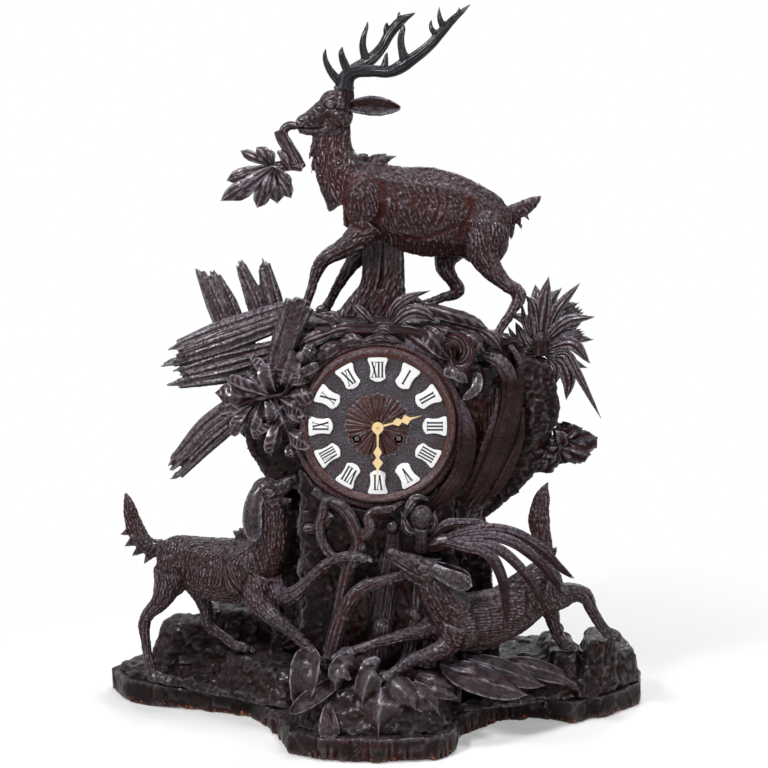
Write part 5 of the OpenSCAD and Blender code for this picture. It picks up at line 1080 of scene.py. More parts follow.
def make_hounds():
    body = [(-215, 158), (-171, 158), (-138, 160), (-115, 170), (-98, 165), (-96, 110), (-125, 88), (-160, 84),
            (-190, 98), (-225, 84), (-226, 150)]
    neck = [(-122, 172), (-112, 195), (-90, 190), (-92, 150), (-100, 120), (-120, 130)]
    tail = [(-235, 150), (-262, 150), (-262, 190), (-246, 190)]
    make_hound("standing_hound", STANDING_MASSES, STANDING_LIMBS, STANDING_PAWS, STANDING_LINES, STANDING_FLOW,
               [(body, 3.5, 8, 1.6, 0.9, 0.15), (neck, 3.6, 12, 1.8, 0.9, 0.2), (tail, 3.4, 9, 1.8, 0.9, 0.2)],
               [(-105, -56.6, 207.5, 2.8, -1), (-105, -36.4, 207.5, 2.8, 1)],
               [([(-113, -55, 214), (-121, -60, 200), (-123, -62, 182), (-121, -62, 160)], 20, (-0.15, -1, 0.1)),
                ([(-113, -38, 214), (-121, -32, 200), (-123, -30, 182), (-121, -30, 162)], 20, (-0.15, 1, 0.1))],
               [(-134, 152, -146, 163, -22, 6), (-128, 155, -140, 166, -24, 6), (-122, 158, -131, 168, -27, 6),
                (-228, 136, -238, 122, 0, 6), (-236, 140, -250, 130, 0, 6), (-243, 147, -258, 140, 1, 6),
                (-248, 156, -262, 152, 2, 5), (-100, 118, -92, 104, -40, 7), (-106, 108, -100, 94, -38, 7)], 40)
    body = [(60, 106), (80, 108), (110, 106), (140, 118), (164, 136), (186, 122), (176, 92), (150, 80), (110, 58),
            (70, 60), (50, 80)]
    neck = [(48, 128), (64, 124), (78, 104), (60, 90), (44, 110)]
    tail = [(156, 130), (150, 170), (158, 200), (168, 214), (176, 190), (174, 150), (172, 130)]
    make_hound("leaping_hound", LEAP_MASSES, LEAP_LIMBS, LEAP_PAWS, LEAP_LINES, LEAP_FLOW,
               [(body, 3.5, 8, 1.6, 0.9, 0.15), (neck, 3.6, 10, 1.7, 0.9, 0.2), (tail, 3.2, 5, 1.8, 0.8, 0.3)],
               [(43, -100.4, 144, 2.8, -1), (43, -80.6, 144, 2.8, 1)],
               [([(52, -99, 144), (64, -104, 138), (78, -104, 132), (90, -102, 127)], 17, (0.05, -1, 0.2)),
                ([(52, -82, 144), (64, -77, 138), (78, -77, 132), (90, -79, 127)], 17, (0.05, 1, 0.2))],
               [(60, 120, 74, 118, -84, 5), (66, 108, 82, 108, -78, 6), (158, 134, 150, 150, -32, 4),
                (172, 134, 178, 150, -32, 4)], 60)


make_stag()
make_antlers()
make_mouth_branch()
make_hounds()


# Leaves, reeds and logs

SPRAY_LEAVES = [
    (-103, 340, -125, 364, 30, -77), (-113, 338, -156, 342, 23, -76), (-119, 333, -150, 315, 20, -75),
    (-120, 330, -138, 303, 17, -77), (-112, 333, -122, 306, 15, -78), (-107, 334, -104, 313, 18, -80),
    (-103, 336, -90, 319, 15, -79), (-94, 337, -70, 325, 17, -78), (-92, 338, -58, 344, 21, -77),
    (-78, 355, -53, 367, 16, -78), (-82, 384, -93, 350, 27, -79), (-70, 371, -60, 392, 12, -79),
    (-91, 325, -73, 313, 15, -77), (-99, 310, -119, 300, 15, -77), (-93, 318, -102, 281, 17, -77),
    (-87, 306, -67, 294, 18, -78), (-84, 293, -80, 279, 13, -76), (-106, 340, -145, 355, 18, -79),
    (-126, 328, -143, 301, 15, -74), (-98, 344, -104, 372, 22, -78), (-88, 345, -78, 368, 15, -80),
    (-98, 330, -84, 303, 17, -75), (-110, 325, -112, 296, 18, -74), (-100, 345, -122, 376, 18, -75),
    (-90, 350, -66, 352, 16, -75), (-90, 326, -60, 318, 15, -74), (-130, 335, -155, 328, 15, -75),
]
SPRAY_STEM = [(-61, 389), (-72, 371), (-82, 352), (-91, 341), (-102, 339), (-120, 335), (-138, 327), (-149, 320)]


def make_left_spray():
    leaves = spread_leaves([(*line, "broad") for line in SPRAY_LEAVES], 7, lean=0.55, fold=0.08, veins=6, cup=0.16,
                           rib=1.4, rows=36, columns=14)
    stems = [stretched([(x, -79, z, 2.6 - 0.2 * i) for i, (x, z) in enumerate(SPRAY_STEM)], ridged(4, 0.2)),
             stretched([(-98, -76, 338, 2.4), (-94, -79, 318, 2.4), (-98, -78, 298, 1.6)], ridged(4, 0.2)),
             ball((-72, -80, 378), (5, 4, 6), (0, 20, 0))]
    spray = joined([walled(leaves, "spray_leaves", 2.4)] + stems, "left_leaf_spray_carved")
    finished(kept_in(spray), leaf_wood, "left_leaf_spray")


TOP_LEAVES = [
    ([(11, -64, 410), (16, -70, 423), (28, -72, 433), (50, -64, 439)], 10, "blade", 0.0, 0.2),
    ([(25, -56, 420), (33, -62, 430), (45, -58, 427)], 9, "blade", 0.0, 0.15),
    ([(13, -68, 405), (24, -76, 417), (35, -78, 421), (47, -74, 417), (56, -68, 409)], 15, "broad", 0.0, 0.28),
    ([(44, -62, 424), (69, -66, 417), (90, -66, 411), (106, -62, 402)], 14, "strap", 0.0, 0.35),
    ([(60, -60, 412), (84, -62, 406), (106, -62, 398), (126, -56, 392)], 15, "broad", 0.05, 0.3),
    ([(54, -72, 405), (65, -77, 402), (78, -72, 399)], 8, "blade", 0.1, 0.3),
    ([(25, -68, 400), (42, -74, 390), (62, -68, 374)], 20, "broad", 0.12, 0.2),
    ([(44, -68, 404), (56, -76, 390), (70, -70, 373)], 20, "broad", 0.1, -0.1),
    ([(76, -74, 361), (84, -79, 373), (93, -74, 384)], 13, "broad", 0.0, 0.3),
    ([(-15, -73, 391), (4, -76, 396), (23, -73, 391)], 7, "strap", 0.0, 0.3),
    ([(14, -73, 399), (5, -78, 404), (-5, -73, 399)], 9, "broad", 0.0, 0.3),
    ([(-31, -66, 405), (-43, -73, 414), (-62, -66, 417)], 13, "blade", 0.05, 0.25),
    ([(-2, -64, 405), (-15, -71, 419), (-28, -64, 431)], 10, "blade", 0.08, 0.25),
    ([(-11, -72, 392), (-26, -77, 394), (-42, -72, 385)], 13, "broad", 0.05, 0.25),
    ([(-20, -68, 403), (-38, -74, 403), (-54, -68, 395)], 14, "broad", 0.05, 0.25),
    ([(-34, -72, 391), (-49, -77, 383), (-64, -72, 369)], 14, "broad", 0.05, 0.25),
    ([(-43, -69, 400), (-60, -75, 395), (-77, -69, 386)], 14, "broad", 0.08, 0.2),
    ([(-57, -72, 383), (-70, -77, 373), (-81, -72, 357)], 13, "broad", 0.05, 0.25),
    ([(96, -62, 402), (109, -68, 395), (119, -62, 381)], 14, "broad", 0.08, 0.2),
    ([(78, -66, 401), (92, -74, 393), (104, -68, 379)], 16, "broad", 0.08, 0.2),
    ([(8, -64, 403), (22, -70, 404), (38, -66, 400)], 12, "broad", 0.06, 0.2),
]
SEED_CURL = [(66, -76, 388, 5), (73, -80, 393, 7), (83, -80, 385, 8), (84, -80, 374, 8), (76, -78, 367, 7),
             (68, -75, 372, 5)]


def make_top_foliage():
    z = TOP_Z
    runners = [stretched(raised(path, z), ridged(5, 0.25), flat, twist=1.0) for path, flat in (
        ([(-60, -66, 0, 5), (-20, -68, 2, 6), (30, -68, 1, 6), (72, -66, -12, 5)], 1.0),
        ([(40, -62, 4, 6), (74, -60, -2, 7), (100, -54, -6, 7), (126, -44, -8, 4)], 0.8))]
    curl = stretched(SEED_CURL, ridged(9, 0.3, 54), 0.8, twist=5.0)
    leaves = [leaf(points, width, (0.12 * math.sin(2.4 * i), -1, 0.3), edge, cup=cup, fold=fold,
                   veins=5 if i % 2 else 0, ridges=0 if i % 2 else 3, rib=1.0, rows=30, columns=14)
              for i, (points, width, edge, fold, cup) in enumerate(TOP_LEAVES)]
    piece = joined([walled(leaves, "top_leaves", 2.4), curl] + runners, "top_foliage_carved")
    finished(kept_in(piece), leaf_wood, "top_foliage")


TUFT_BLADES = [
    ([(159, 377), (160, 409), (167, 449)], 21, -26, "blade"),
    ([(164, 389), (176, 418), (198, 443)], 11, -22, "blade"),
    ([(153, 389), (150, 408), (150, 429)], 7, -22, "blade"),
    ([(153, 387), (145, 401), (140, 425)], 7, -28, "blade"),
    ([(160, 383), (183, 406), (212, 411)], 12, -32, "blade"),
    ([(166, 382), (184, 404), (202, 417)], 24, -12, "fan"),
    ([(164, 380), (184, 389), (203, 394)], 19, -28, "fan"),
    ([(164, 378), (189, 385), (208, 365)], 15, -33, "blade"),
    ([(165, 370), (184, 374), (196, 355), (220, 310)], 11, -30, "blade"),
    ([(167, 369), (181, 365), (188, 347), (186, 327)], 17, -24, "blade"),
    ([(154, 377), (143, 389), (135, 405)], 12, -26, "blade"),
    ([(156, 373), (142, 377), (128, 400)], 12, -20, "blade"),
    ([(163, 375), (177, 377), (195, 396)], 12, -20, "blade"),
    ([(156, 376), (149, 384), (143, 394)], 9, -32, "blade"),
    ([(167, 371), (177, 361), (176, 343)], 12, -22, "blade"),
    ([(164, 396), (175, 412), (185, 426)], 9, -18, "blade"),
]
TUFT_BEHIND = [(-14, -6, 54, 6), (-4, 14, 64, 7), (54, 6, 10, 8), (40, 14, 46, 9), (-30, 20, 34, 6), (24, 24, 60, 7),
               (-10, 30, 50, 7), (44, 30, 22, 8), (14, 40, 30, 8), (50, 18, -20, 8)]


def make_reed_tuft():
    hx, hy, hz = 159, -24, 377
    blades = []
    for points, width, y, edge in TUFT_BLADES:
        steps = len(points) - 1
        line = [(x, hy + (y - hy) * i / steps - 4 * math.sin(math.pi * i / steps), z)
                for i, (x, z) in enumerate(points)]
        fan = {"ridges": 7, "round_tip": 0.2, "columns": 28} if edge == "fan" else {"ridges": 3, "columns": 14}
        blades.append(leaf(line, width, (0.1, -1, 0.2), edge, cup=0.16, rib=1.0, rows=26, **fan))
    for x, y, z, r in TUFT_BEHIND:
        mid = (hx + x * 0.42, hy + y * 0.5 - 3, hz + 6 + z * 0.66)
        blades.append(leaf([(hx + x * 0.03, hy + y * 0.1, hz + 2), mid, (hx + x, hy + y, hz + z)], r * 2,
                           (0.1, -1, 0.25), "blade", ridges=3, cup=0.2, rows=22, columns=14))
    stalk = stretched([(hx, hy, hz - 4, 10), (hx, hy - 2, hz + 10, 8), (hx + 2, hy - 2, hz + 18, 4)], ridged(7, 0.2))
    tuft = joined([walled(blades, "tuft_blades", 2.0), stalk], "reed_tuft_carved")
    finished(kept_in(tuft), reed_wood, "reed_tuft")


CLUSTER_ROOT = (178, 281)
CLUSTER_LEAVES = [(219, 289, 24, -18), (212, 272, 22, -22), (197, 262, 24, -20), (157, 254, 26, -24),
                  (143, 275, 24, -24), (204, 298, 22, -14), (170, 263, 22, -28), (176, 297, 20, -24),
                  (165, 282, 20, -30)]


def make_leaf_cluster():
    cx, cy, cz = 172, -10, 277
    leaves = spread_leaves([(*CLUSTER_ROOT, *tip, "scalloped") for tip in CLUSTER_LEAVES], 7, (0, -1, 0.1), lean=0.3,
                           ridges=2, cup=0.15, fold=0.03, rows=40, columns=14)
    behind = (0, 1, 0.1)
    for x, y, z, width in ((30, 14, 6, 27), (16, 18, -18, 26), (24, 24, 20, 24)):
        centre, tip = (cx + 4, cy + y * 0.3, cz), (cx + x, cy + y, cz + z)
        root = [c + (t - c) * 0.12 for c, t in zip(centre, tip)]
        mid = [(r + t) / 2 + out * 5 for r, t, out in zip(root, tip, behind)]
        leaves.append(leaf([root, mid, tip], width, behind, "scalloped", ridges=2, rows=40, columns=14, cup=0.15))
    stalks = [stretched([(cx - 22, cy - 8, cz + 6, 8), (cx - 2, cy, cz, 8), (cx + 10, cy - 2, cz + 2, 7),
                         (cx + 20, cy - 7, cz + 4, 3)], ridged(6, 0.2)), ball((cx + 6, cy - 12, cz + 4), (7, 5, 7))]
    cluster = joined([walled(leaves, "cluster_leaves", 2.4)] + stalks, "right_leaf_cluster_carved")
    finished(kept_in(cluster), rock_wood, "right_leaf_cluster")


def bundle(path, strands, seed, flat=0.9):
    """Several ridged strands side by side, ending one after another."""
    dice = random.Random(seed)
    made = []
    for k in range(strands):
        off = (k - (strands - 1) / 2) / max(1, strands - 1) * 2 * 0.75
        points = []
        for i, (x, y, z, r) in enumerate(path):
            x0, _, z0, _ = path[max(0, i - 1)]
            x1, _, z1, _ = path[min(len(path) - 1, i + 1)]
            run = math.hypot(x1 - x0, z1 - z0) + 1e-6
            side = off * r * (0.62 if i else 0.4)
            points.append((x - (z1 - z0) / run * side, y + abs(off) * r * 0.35 - dice.uniform(0, 0.6),
                           z + (x1 - x0) / run * side, r * 1.5 / strands))
        (x0, _, z0, _), (x1, y1, z1, _) = points[-2:]
        pull = dice.uniform(0.7, 1.0)
        points[-1] = (x0 + (x1 - x0) * pull, y1, z0 + (z1 - z0) * pull, 0.5)
        made.append(stretched(points, ridged(3, 0.28, 24), flat, steps=8, twist=0.5))
    return made


def make_curved_reeds():
    bowed = [
        ([(74, -66, 341, 1.5), (82, -72, 322, 6), (85, -76, 301, 9.5), (84, -77, 282, 9.5), (78, -76, 262, 9),
          (67, -75, 245, 8.5), (52, -72, 229, 7)], 3),
        ([(102, -58, 375, 6), (116, -66, 370, 8), (125, -70, 356, 8.5), (126, -71, 334, 8.5), (120, -71, 307, 8.5),
          (110, -70, 281, 8.5), (98, -68, 254, 8.5), (82, -64, 228, 7)], 3),
        ([(115, -64, 345, 1.2), (114, -68, 325, 3), (109, -70, 305, 4), (102, -70, 286, 4), (94, -69, 266, 4),
          (83, -68, 246, 4)], 1),
        ([(127, -58, 385, 3), (135, -64, 372, 3), (137, -67, 351, 3.2), (135, -68, 330, 3.4), (128, -68, 303, 3.6),
          (117, -67, 275, 3.6), (105, -66, 250, 3.6), (90, -62, 227, 3)], 1),
        ([(139, -56, 322, 3), (134, -60, 298, 7), (125, -62, 274, 8), (113, -62, 251, 8), (96, -60, 231, 6)], 2),
    ]
    strands = []
    for i, (path, count) in enumerate(bowed):
        strands += bundle(path, count, 80 + i) if count > 1 else [stretched(path, ridged(3, 0.2, 24), 0.9, steps=8)]
    ribbons = [leaf([(63, -78, 364), (74, -84, 362), (86, -78, 352)], 12, (0, -1, 0.2), "strap", cup=0.12, rib=0.2),
               leaf([(95, -72, 361), (94, -78, 347), (81, -76, 335)], 10, FACING_US, "strap", cup=0.14, rib=0.4)]
    strands.append(walled(ribbons, "reed_ribbons", 2.2))
    reeds = kept_in(joined(strands, "curved_reeds_carved"))
    finished(reeds, reed_wood, "curved_reeds")


ARCHES = [
    [(2, -2, 2, 6), (30, -14, 14, 6), (62, -22, 17, 6), (94, -22, 2, 5.5), (118, -18, -22, 4), (131, -14, -33, 1)],
    [(2, -2, 2, 6), (30, -16, 9, 6), (60, -26, 10, 6), (88, -28, -6, 5.5), (110, -22, -32, 4), (119, -18, -47, 1)],
    [(2, -2, 2, 6), (28, -18, 4, 6), (52, -28, 2, 6), (76, -32, -16, 5.5), (94, -32, -42, 4), (102, -30, -59, 1)],
    [(2, -2, 2, 6), (26, -20, 0, 6.5), (46, -30, -4, 6.5), (58, -34, -22, 6), (63, -36, -48, 4.5), (65, -34, -75, 1)],
    [(-6, -4, 8, 5), (10, -10, 20, 6), (34, -12, 22, 5), (56, -8, 18, 1.5)],
]


def make_arching_reeds():
    """Reeds that leave one knot and bow over the leaping hound."""
    kx, ky, kz = 58, -76, 196
    over = []
    for i, points in enumerate(ARCHES):
        over += bundle([(kx + x, ky + y, kz + pz, r) for x, y, pz, r in points], 3, 90 + i, 0.85)
    over.append(stretched([(kx - 10, ky + 4, kz - 4, 7), (kx, ky, kz, 9), (kx + 14, ky - 4, kz + 4, 7)],
                          ridged(6, 0.2)))
    over.append(stretched([(kx - 10, ky + 8, kz + 2, 6), (kx - 8, ky + 12, kz - 10, 6)], ridged(5, 0.2)))
    arch = kept_in(joined(over, "arching_reeds_carved"), "arching_reeds")
    finished(arch, reed_wood, "arching_reeds")


def splintered(count, seed):
    """The rough outline of a split log."""
    dice = random.Random(seed)
    return [(r * math.cos(2 * math.pi * i / count), r * math.sin(2 * math.pi * i / count))
            for i in range(count) for r in [dice.uniform(0.82, 1.06) - (0.16 if i % 5 == 0 else 0)]]


def split_log(path, strands, seed, size=1.0):
    """A log that has split lengthwise into planks of different lengths, with frayed ends."""
    dice = random.Random(seed)
    core = stretched([(x, y + 3, z, r * 0.82) for x, y, z, r in path], splintered(18, seed), 0.95, steps=8)
    parts, grooves = [core], []
    for k in range(strands):
        off = (k - (strands - 1) / 2) / max(1, strands - 1) * 1.5
        row, edge = [], []
        for i, (x, y, z, r) in enumerate(path):
            x0, _, z0, _ = path[max(0, i - 1)]
            x1, _, z1, _ = path[min(len(path) - 1, i + 1)]
            run = math.hypot(x1 - x0, z1 - z0)
            dx, dz = (x1 - x0) / run, (z1 - z0) / run
            slip = (dice.uniform(-13, 9) if i == 0 else dice.uniform(-9, 9) if i == len(path) - 1 else 0) * size
            wide = r * 1.5 / strands + 1.0
            side = off * (r - wide * 0.6)
            row.append((x - dz * side + dx * slip, y - (1 - abs(off) * 0.75) * r * 0.45 + dice.uniform(-1.2, 1.2),
                        z + dx * side + dz * slip, wide * (0.72 if i == 0 else 1)))
            rim = side + wide * 0.9
            edge.append((x - dz * rim + dx * slip, z + dx * rim + dz * slip))
        parts.append(stretched(row, splintered(12, seed + 7 * k + 1), 1.0, steps=8))
        if k < strands - 1:
            grooves.append((edge, 2.0, 1.5, -1))
        for _ in range(5):
            t = dice.uniform(0.05, 0.9)
            x, z = edge[0][0] + (edge[-1][0] - edge[0][0]) * t, edge[0][1] + (edge[-1][1] - edge[0][1]) * t
            grooves.append(([(x, z), (x + dice.uniform(-1, 2), z - dice.uniform(3, 5))], 1.5, 0.9, -1))
        (x0, y0, z0, r0), (x1, _, z1, _) = row[:2]
        run = math.dist((x0, z0), (x1, z1))
        for _ in range(2):
            a, b = dice.uniform(-0.5, 0.5) * r0, dice.uniform(6, 13) * size
            root = (x0 - (z1 - z0) / run * a, y0 + dice.uniform(-2, 2), z0 + (x1 - x0) / run * a)
            parts.append(stretched([(*root, 3.2 * size),
                                    (root[0] - (x1 - x0) / run * b, root[1], root[2] - (z1 - z0) / run * b, 0.9)],
                                   splintered(8, seed + 9), steps=3))
    return parts, grooves


SPLIT_LOGS = [
    ([(-190, -55, -21, 14), (-150, -55, -7, 16.5), (-88, -55, 15, 14)], 4),
    ([(-188, -54, -45, 12), (-150, -54, -36, 15), (-98, -54, -22, 13)], 3),
    ([(-190, -55, -128, 14), (-160, -55, -97, 17), (-108, -55, -58, 14)], 4),
    ([(-100, -67, -46, 10), (-90, -67, -8, 10), (-77, -67, 28, 10)], 2),
    ([(-87, -66, -22, 8), (-80, -66, 0, 8), (-67, -66, 24, 7)], 2),
    ([(-168, -41, 49, 6), (-157, -43, 24, 8.5), (-146, -47, -4, 8)], 2),
    ([(-156, -41, 51, 5), (-145, -43, 25, 8), (-134, -47, -2, 8)], 2),
    ([(-130, -41, 55, 6), (-119, -43, 28, 8), (-110, -47, 2, 8)], 2),
    ([(-110, -41, 62, 7), (-103, -43, 32, 9), (-95, -47, 6, 8)], 2),
]


def make_logs():
    parts, strokes = [], []
    for i, (path, strands) in enumerate(SPLIT_LOGS):
        path = raised(path, TOP_Z)
        wood, grooves = split_log(path, strands, 100 + 31 * i, 1.0 if i < 3 else 0.55)
        parts += wood
        strokes += grooves + lengthwise(path, 30 if i < 3 else 12, 1.5, 0.8, 110 + i)
    logs = melted(joined(parts, "splintered_logs_carved"), 1.0, 1)
    carved(logs, strokes)
    finished(kept_in(logs, "splintered_logs"), log_wood, "splintered_logs", angle=35)


ROOTS = [
    [(-62, -66, 186, 5), (-48, -70, 176, 6), (-34, -74, 170, 7), (-22, -76, 150, 7), (-18, -76, 134, 8),
     (-26, -76, 118, 8), (-34, -78, 88, 7), (-40, -80, 60, 6), (-48, -84, 30, 6)],
    [(-50, -72, 178, 5), (-56, -76, 150, 5), (-50, -76, 130, 5), (-30, -76, 112, 5)],
    [(-70, -68, 148, 5), (-58, -72, 150, 5), (-44, -74, 164, 4)],
    [(-18, -76, 140, 6), (-8, -82, 150, 6), (-8, -80, 164, 5), (14, -76, 170, 4), (26, -72, 176, 3)],
    [(-46, -84, 24, 8), (-34, -88, 66, 8), (-16, -92, 94, 7), (10, -82, 100, 6), (34, -72, 104, 6)],
    [(-40, -80, 50, 7), (-30, -72, 20, 10), (-10, -70, 6, 11)],
    [(40, -66, 120, 7), (38, -66, 60, 9), (26, -70, 10, 10)],
    [(55, -66, 120, 8), (52, -64, 60, 10), (48, -68, 10, 11)],
    [(16, -66, 150, 8), (10, -66, 100, 12), (2, -66, 50, 14), (-2, -66, 8, 14)],
]


def make_roots():
    parts, strokes = [], []
    for i, path in enumerate(ROOTS):
        path = raised(path, CASE_Z)
        parts.append(stretched(path, flat=0.6 if i == 8 else 1.0, steps=8))
        strokes += lengthwise(path, 22 if len(path) > 4 else 12, 1.8, 0.9, 140 + i)
        dice = random.Random(150 + i)
        for _ in range(2):
            x, y, z, r = dice.choice(path[:-1])
            parts.append(ball((x + dice.uniform(-2, 2), y - r * 0.5, z + dice.uniform(-3, 3)),
                              (r * 0.7, r * 0.6, r * 0.8)))
    sx, sy, sz = 42, -84, 223
    for path in ([(0, 0, -10, 8), (0, 2, -20, 6), (0, 8, -34, 6)], [(0, 20, -8, 8), (0, 2, -2, 5)]):
        parts.append(stretched([(sx + x, sy + y, sz + z, r) for x, y, z, r in path]))
    roots = melted(joined(parts, "twisted_roots_carved"), 1.0, 3)
    strokes += [([(x, z), (x + 1.5, z + 6)], 1.8, 0.9, -1) for i in range(9)
                for x, z in [(-26 + 4.2 * i, CASE_Z + 108 + 1.2 * i)]]
    carved(roots, strokes)
    seed = melted(ball((sx, sy, sz), (11, 11, 11.5)), 0.9, 0)
    hewn(seed, 3.2, 0.9, 5, 1.2)
    sepals = [
        leaf([(sx + 6, sy + 10, sz + 15), (sx - 8, sy - 2, sz + 17), (sx - 19, sy - 5, sz - 2)], 9, (-0.3, -1, 0),
             "blade", ridges=2, cup=0.3),
        leaf([(sx - 2, sy + 2, sz - 18), (sx - 14, sy - 3, sz - 12), (sx - 20, sy - 4, sz + 6)], 9, (-0.3, -1, 0),
             "blade", ridges=2, cup=0.3),
        leaf([(sx + 2, sy + 4, sz - 16), (sx + 12, sy - 2, sz - 8), (sx + 13, sy - 2, sz + 6)], 8, (0.3, -1, 0),
             "blade", ridges=2, cup=0.3),
    ]
    roots = joined([roots, seed, walled(sepals, "sepals", 2.0)], "twisted_roots_carved")
    finished(kept_in(roots, "twisted_roots"), fur_wood, "twisted_roots")


MOUND_LEAVES = [
    ([(2, -98, 72), (3, -128, 64), (1, -140, 44), (1, -142, 21)], 46, "diamond", 0.2, 0.06),
    ([(4, -100, 70), (14, -124, 73), (30, -135, 60), (37, -131, 45)], 29, "broad", 0.05, 0.3),
    ([(-12, -100, 72), (-28, -116, 88), (-38, -126, 80), (-41, -125, 64)], 25, "broad", 0.0, 0.34),
    ([(-2, -100, 72), (-4, -120, 84), (-12, -130, 68), (-15, -132, 50)], 25, "broad", 0.12, 0.2),
    ([(-64, -96, 94), (-68, -116, 88), (-71, -126, 68), (-74, -123, 46)], 27, "broad", 0.0, -0.16),
    ([(18, -108, 66), (36, -124, 63), (52, -127, 51), (60, -120, 37)], 25, "broad", 0.12, 0.16),
    ([(-36, -104, 68), (-54, -122, 62), (-70, -132, 54), (-82, -133, 45)], 17, "broad", 0.0, -0.2),
    ([(34, -98, 72), (50, -112, 71), (70, -112, 64)], 11, "strap", 0.0, 0.2),
    ([(34, -104, 65), (54, -117, 62), (76, -114, 54)], 12, "strap", 0.0, 0.2),
    ([(60, -92, 80), (88, -106, 74), (120, -104, 62), (146, -90, 48)], 30, "broad", 0.1, 0.1),
    ([(84, -86, 84), (112, -94, 78), (140, -88, 66), (164, -74, 52)], 24, "broad", 0.1, 0.1),
    ([(120, -66, 74), (146, -72, 72), (176, -62, 60), (196, -48, 46)], 20, "broad", 0.1, 0.1),
    ([(-40, -108, 58), (-46, -130, 50), (-46, -140, 36), (-44, -140, 20)], 20, "fan", 0.0, 0.1),
]
MOUND_HATCH = [(-10, 44, 4, 2.6, 10), (50, 56, 5, 2.6, 8), (92, 74, 9, 3.2, 7), (120, 66, 8, 3.2, 7),
               (-66, 84, 4, 2.8, 10), (-46, 42, 6, 2.4, 16)]


def hatch(x, z, count, gap, long, lean=0.18, width=1.7, depth=1.0):
    """A group of short chisel cuts side by side, on the near side."""
    return [([(x + gap * (i - count / 2), z + long / 2), (x + gap * (i - count / 2) + lean * long, z - long / 2)],
             width, depth, -1) for i in range(count)]


def make_base_leaves():
    leaves = [leaf(points, width, (0, -0.85, 0.5), edge, cup=cup, fold=fold, rib=0.6, rows=30, columns=24,
                   **({"ridges": 9, "round_tip": 0.1} if edge == "fan" else {}))
              for points, width, edge, fold, cup in MOUND_LEAVES]
    runners = [stretched(path, ridged(6, 0.22), twist=1.5) for path in (
        [(-40, -92, 66, 6), (-4, -98, 68, 8), (44, -92, 68, 6), (76, -72, 58, 7)],
        [(70, -74, 60, 7), (96, -52, 57, 7), (124, -36, 55, 7), (160, -36, 43, 5)])]
    foliage = carved(walled(leaves, "mound_leaves", 3.2), [cut for group in MOUND_HATCH for cut in hatch(*group)])
    piece = joined([foliage] + runners, "base_leaves_carved")
    finished(kept_in(piece), leaf_wood, "base_leaves")


make_left_spray()
make_top_foliage()
make_reed_tuft()
make_leaf_cluster()
make_curved_reeds()
make_arching_reeds()
make_logs()
make_roots()
make_base_leaves()


# Rock, base and ledge

def make_rock(node_name, voxel, facet, flat, seed, finish=rock_wood, rounds=2, strokes=(),
              grain=(7.0, 1.6, (1, 1, 0.35)), rise=None):
    """Rock or bark in the place of its CAD node: size of the chisel's facets, how flat they are, and a rough grain
    (size, depth, stretch). What lies above the rise's height is lifted by the rise."""
    rock = melted(cad_copy(node_name), voxel, rounds)
    if rise:
        at, _ = corners(rock)
        at[:, 2] += np.clip((at[:, 2] - rise[0]) / 20, 0, 1) * rise[1]
        reshaped(rock, at)
    hewn(rock, facet, flat, seed)
    roughened(rock, *grain)
    if strokes:
        carved(rock, strokes)
    finished(kept_in(rock, None if rise else node_name), finish, node_name, angle=32)


SLAB_HATCH = [(20, 32, 5), (44, 34, 7), (58, 40, 5), (-6, 20, 6), (-30, 24, 4), (-160, 62, 8), (-210, 54, 6),
              (130, 52, 8), (190, 50, 7), (90, 46, 6)]
STUMP_EDGE = ((0, 8, 19, 33, 60), (-48, -44, -26, -16, -14))


def rock_cuts():
    """Chisel cuts of the crags, the mounds, the slab and the stump's bark."""
    dice = random.Random(300)
    crag, mounds, slab, bark = [], [], [], []
    for _ in range(26):
        x, z = dice.choice((-1, 1)) * dice.uniform(90, 150), dice.uniform(110, 380)
        crag.append(([(x, z), (x + dice.uniform(-3, 3), z - dice.uniform(14, 40))], 2.8, 1.8, 0))
    for _ in range(30):
        x, z = dice.uniform(-240, 240), dice.uniform(60, 150)
        mounds += hatch(x, z, dice.randint(4, 9), 4.2, dice.uniform(8, 16), dice.uniform(-0.5, 0.5), 2.6, 1.1)
    for x, z, count in SLAB_HATCH:
        slab += hatch(x, z, count, 4.4, 13, dice.uniform(-0.1, 0.3), 2.6, 1.3)
    for _ in range(34):
        x = dice.uniform(-120, 140)
        slab.append(([(x, -4), (x + dice.uniform(-2, 2), dice.uniform(8, 20))], 2.4, 1.6, -1))
    for _ in range(70):
        z = dice.uniform(2, 52)
        x, lean = dice.uniform(np.interp(z, *STUMP_EDGE), 28), dice.uniform(0.1, 1.0)
        bark.append(([(x, z), (x - 3 * lean, z - 7), (x - 8 * lean, z - 14)], 1.9, 1.2, 0))
    return crag, mounds, slab, lifted(bark, STAND_Z)


crag_cuts, mound_cuts, slab_cuts, bark_cuts = rock_cuts()
make_rock("left_crag", 1.7, 6.5, 0.8, 11, strokes=crag_cuts)
board_cuts = [([(x, 338), (x + 1, 300), (x - 2, 262)], 1.9, 1.6, -1) for x in range(88, 114, 3)]
make_rock("right_crag", 1.7, 8.0, 0.8, 12, strokes=crag_cuts + board_cuts)
make_rock("base_rocks", 1.9, 10.0, 0.6, 13, rounds=14, strokes=mound_cuts, grain=(16.0, 4.0, (1, 1, 0.7)))
make_rock("base_slab", 2.1, 14.0, 0.35, 14, strokes=slab_cuts, grain=(16.0, 0.5, (1, 1, 2.0)))
make_rock("top_ledge", 1.7, 6.0, 0.7, 15)
make_rock("tree_stump", 1.1, 4.0, 0.3, 16, fur_wood, rounds=3, strokes=bark_cuts, grain=(3.0, 0.8, (0.6, 1, 2.0)),
          rise=(438, 24))


